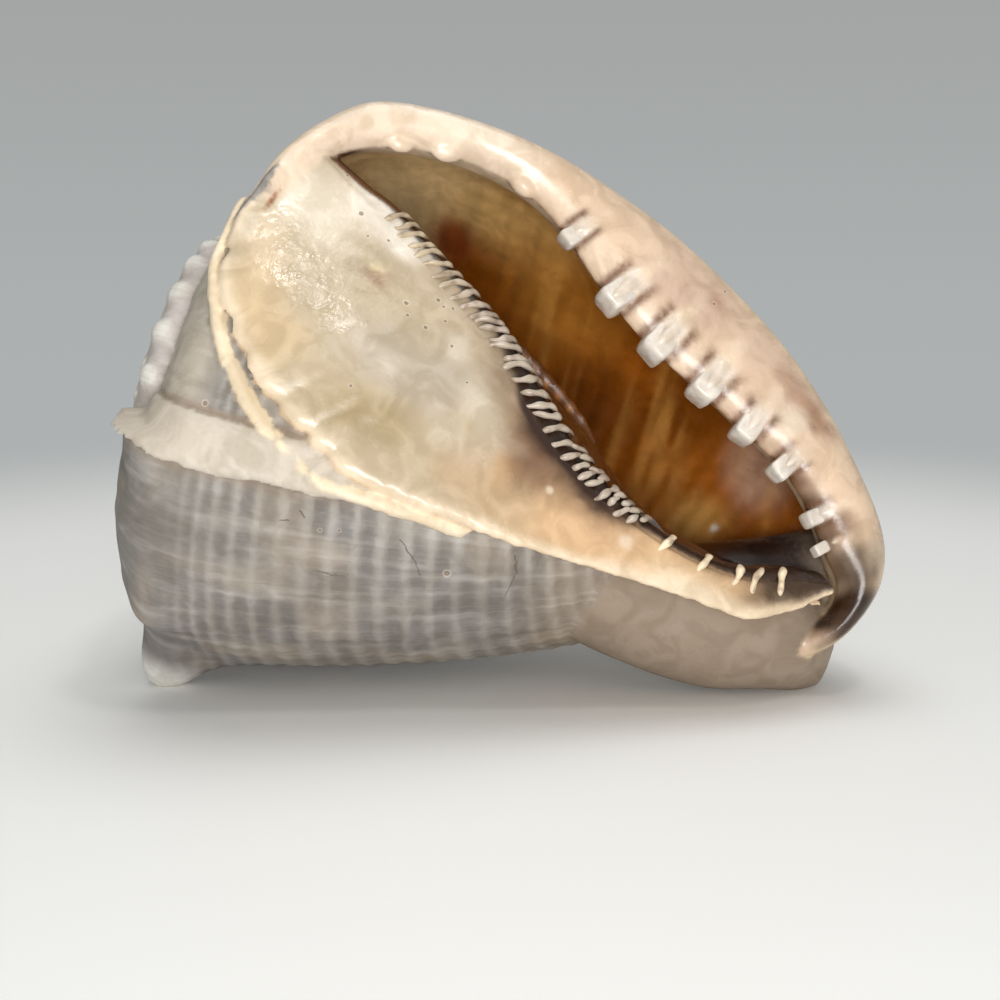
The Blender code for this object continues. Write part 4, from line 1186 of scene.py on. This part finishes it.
def shell_material():
    """Glaze and chalky shell in one material, told apart by the gloss kept with the mesh."""
    material = bpy.data.materials.new("shell")
    material.use_nodes = True
    shader = material.node_tree.nodes["Principled BSDF"]
    g = Graph(material.node_tree)
    place, coil, mouth = (g.attribute(name, "Vector") for name in ("place", "coil", "mouth"))
    gloss = g.attribute("gloss", "Fac")
    outside = g.part(coil, 2)
    chalk = g.math("SUBTRACT", 1.0, gloss)
    speck = g.noise(place, 1.6, 4.0)
    lines = g.noise(g.stretch(coil, FINE_LINES), 1.0, 3.0)
    colour = tone_nodes(g, place, coil, gloss, lines, speck)
    in_plane = g.stretch(mouth, (1.0, 1.0, 0.0))
    from_front = g.add("CombineXYZ", g.part(place, 0), g.part(place, 2)).outputs[0]
    front = g.times(outside, g.span(g.part(place, 1), 10.0, 20.0))
    glazed = g.times(g.span(gloss, 0.6, 0.8), g.span(g.part(mouth, 2), -3.0, -2.0))
    glaze_pits, body_pits = round_marks(g, in_plane, SHIELD_PITS), round_marks(g, from_front, BODY_PITS)
    pit = g.math("MAXIMUM", g.times(g.span(glaze_pits, 1.15, 0.7), glazed),
                 g.times(g.span(body_pits, 1.1, 0.8), front))
    halo = g.math("MAXIMUM", g.times(g.span(glaze_pits, 2.1, 1.2), glazed),
                  g.times(g.span(body_pits, 1.9, 1.2), front))
    bubble = g.times(g.span(round_marks(g, in_plane, GLAZE_BUBBLES), 1.3, 0.3), glazed)
    crack = g.times(crack_nodes(g, from_front), front)
    for mask, amount, tone in ((halo, 0.25, HALO_CREAM), (pit, 0.7, PIT_BROWN),
                               (bubble, 0.6, BUBBLE_CREAM), (crack, 0.7, CRACK_BROWN)):
        colour = g.mix(g.times(mask, amount), colour, (*tone, 1.0))
    g.put(shader.inputs["Base Color"], colour)
    uneven_gloss = g.span(g.noise(place, 5.0, 3.0), 0.3, 0.7, *GLAZE_ROUGHNESS)
    g.put(shader.inputs["Roughness"], g.math("ADD", g.times(chalk, CHALK_ROUGHNESS), uneven_gloss))
    shader.inputs["IOR"].default_value = SHELL_IOR
    hammered_at = in_mouth(np.array(HAMMERED_AT[:2]), HAMMERED_AT[2])
    hammer_near = g.span(g.distance(place, tuple(hammered_at)), 26.0, 6.0, 0.25, 1.0)
    height = g.times(g.times(g.noise(place, 2.3, 2.0), g.times(hammer_near, gloss)), 0.75)
    for operation, mask, amount in (("ADD", g.times(lines, outside), 0.35),
                                    ("ADD", g.times(speck, chalk), 0.30),
                                    ("SUBTRACT", pit, 0.8), ("SUBTRACT", crack, 0.5)):
        height = g.math(operation, height, g.times(mask, amount))
    bump = g.add("Bump")
    bump.inputs["Strength"].default_value = 0.7
    bump.inputs["Distance"].default_value = 0.6 * MM
    g.put(bump.inputs["Height"], height)
    g.put(shader.inputs["Normal"], bump.outputs[0])
    return material


def add_floor():
    """Pale table top that fades away from the shell, so the grey backdrop shows behind it."""
    mesh = bpy.data.meshes.new("floor")
    mesh.from_pydata([(x * FLOOR_HALF, y * FLOOR_HALF, 0) for x, y in ((-1, -1), (1, -1), (1, 1), (-1, 1))],
                     [], [(0, 1, 2, 3)])
    floor = bpy.data.objects.new("floor", mesh)
    bpy.context.scene.collection.objects.link(floor)
    material = bpy.data.materials.new("floor")
    material.use_nodes = True
    shader = material.node_tree.nodes["Principled BSDF"]
    shader.inputs["Base Color"].default_value = FLOOR_TONE
    shader.inputs["Roughness"].default_value = FLOOR_ROUGHNESS
    g = Graph(material.node_tree)
    place = g.add("TexCoord").outputs["Object"]
    away = g.distance(place, (0.0, 0.0, 0.0))
    g.put(shader.inputs["Alpha"], g.span(away, *FLOOR_FADE, 1.0, 0.0))
    mesh.materials.append(material)


def add_area_light(name, place, size, power, colour):
    light = bpy.data.lights.new(name, "AREA")
    light.shape = "DISK"
    light.size = size
    light.energy = power
    light.color = colour
    lamp = bpy.data.objects.new(name, light)
    lamp.location = place
    direction = Vector(LIGHT_TARGET) - Vector(place)
    lamp.rotation_euler = direction.to_track_quat("-Z", "Y").to_euler()
    bpy.context.scene.collection.objects.link(lamp)


def add_lights():
    """The backdrop and the lights: overhead, a small key that glints, and a low one into the mouth."""
    world = bpy.data.worlds.new("studio")
    bpy.context.scene.world = world
    world.use_nodes = True
    background = world.node_tree.nodes["Background"]
    g = Graph(world.node_tree)
    height = g.part(g.add("TexCoord").outputs["Generated"], 2)
    g.put(background.inputs["Color"], g.mix(g.span(height, *BACKDROP_RISE), BACKDROP_LOW, BACKDROP_HIGH))
    background.inputs["Strength"].default_value = 1.0
    for light in LIGHTS:
        add_area_light(*light)


def add_camera():
    """The photograph's view: low, in front of the mouth, looking down ten degrees."""
    data = bpy.data.cameras.new("camera")
    data.angle = CAMERA_ANGLE
    camera = bpy.data.objects.new("camera", data)
    camera.location = CAMERA_PLACE
    camera.rotation_euler = (CAMERA_TILT, 0.0, 0.0)
    bpy.context.scene.collection.objects.link(camera)
    bpy.context.scene.camera = camera


lump, fused = build_fused()
points, edges = to_shell(read_points(fused)), read(fused.edges, "vertices", 2, np.int32)
kinds, places = lookup(lump, points)
colour, gloss, coil = paint(points, turned(read_normals(fused)), edges, kinds, places)
material = shell_material()
split_fused(fused, material, {"colour": colour, "gloss": gloss, "coil": coil, "points": points})
add_small_piece("king_helmet_teeth", add_teeth, material, tooth_tones)
add_small_piece("king_helmet_folds", add_folds, material, fold_tones)
bpy.data.meshes.remove(fused)

add_floor()
add_lights()
add_camera()
# The plain view keeps the surface's own tones in the picture
bpy.context.scene.view_settings.view_transform = "Standard"
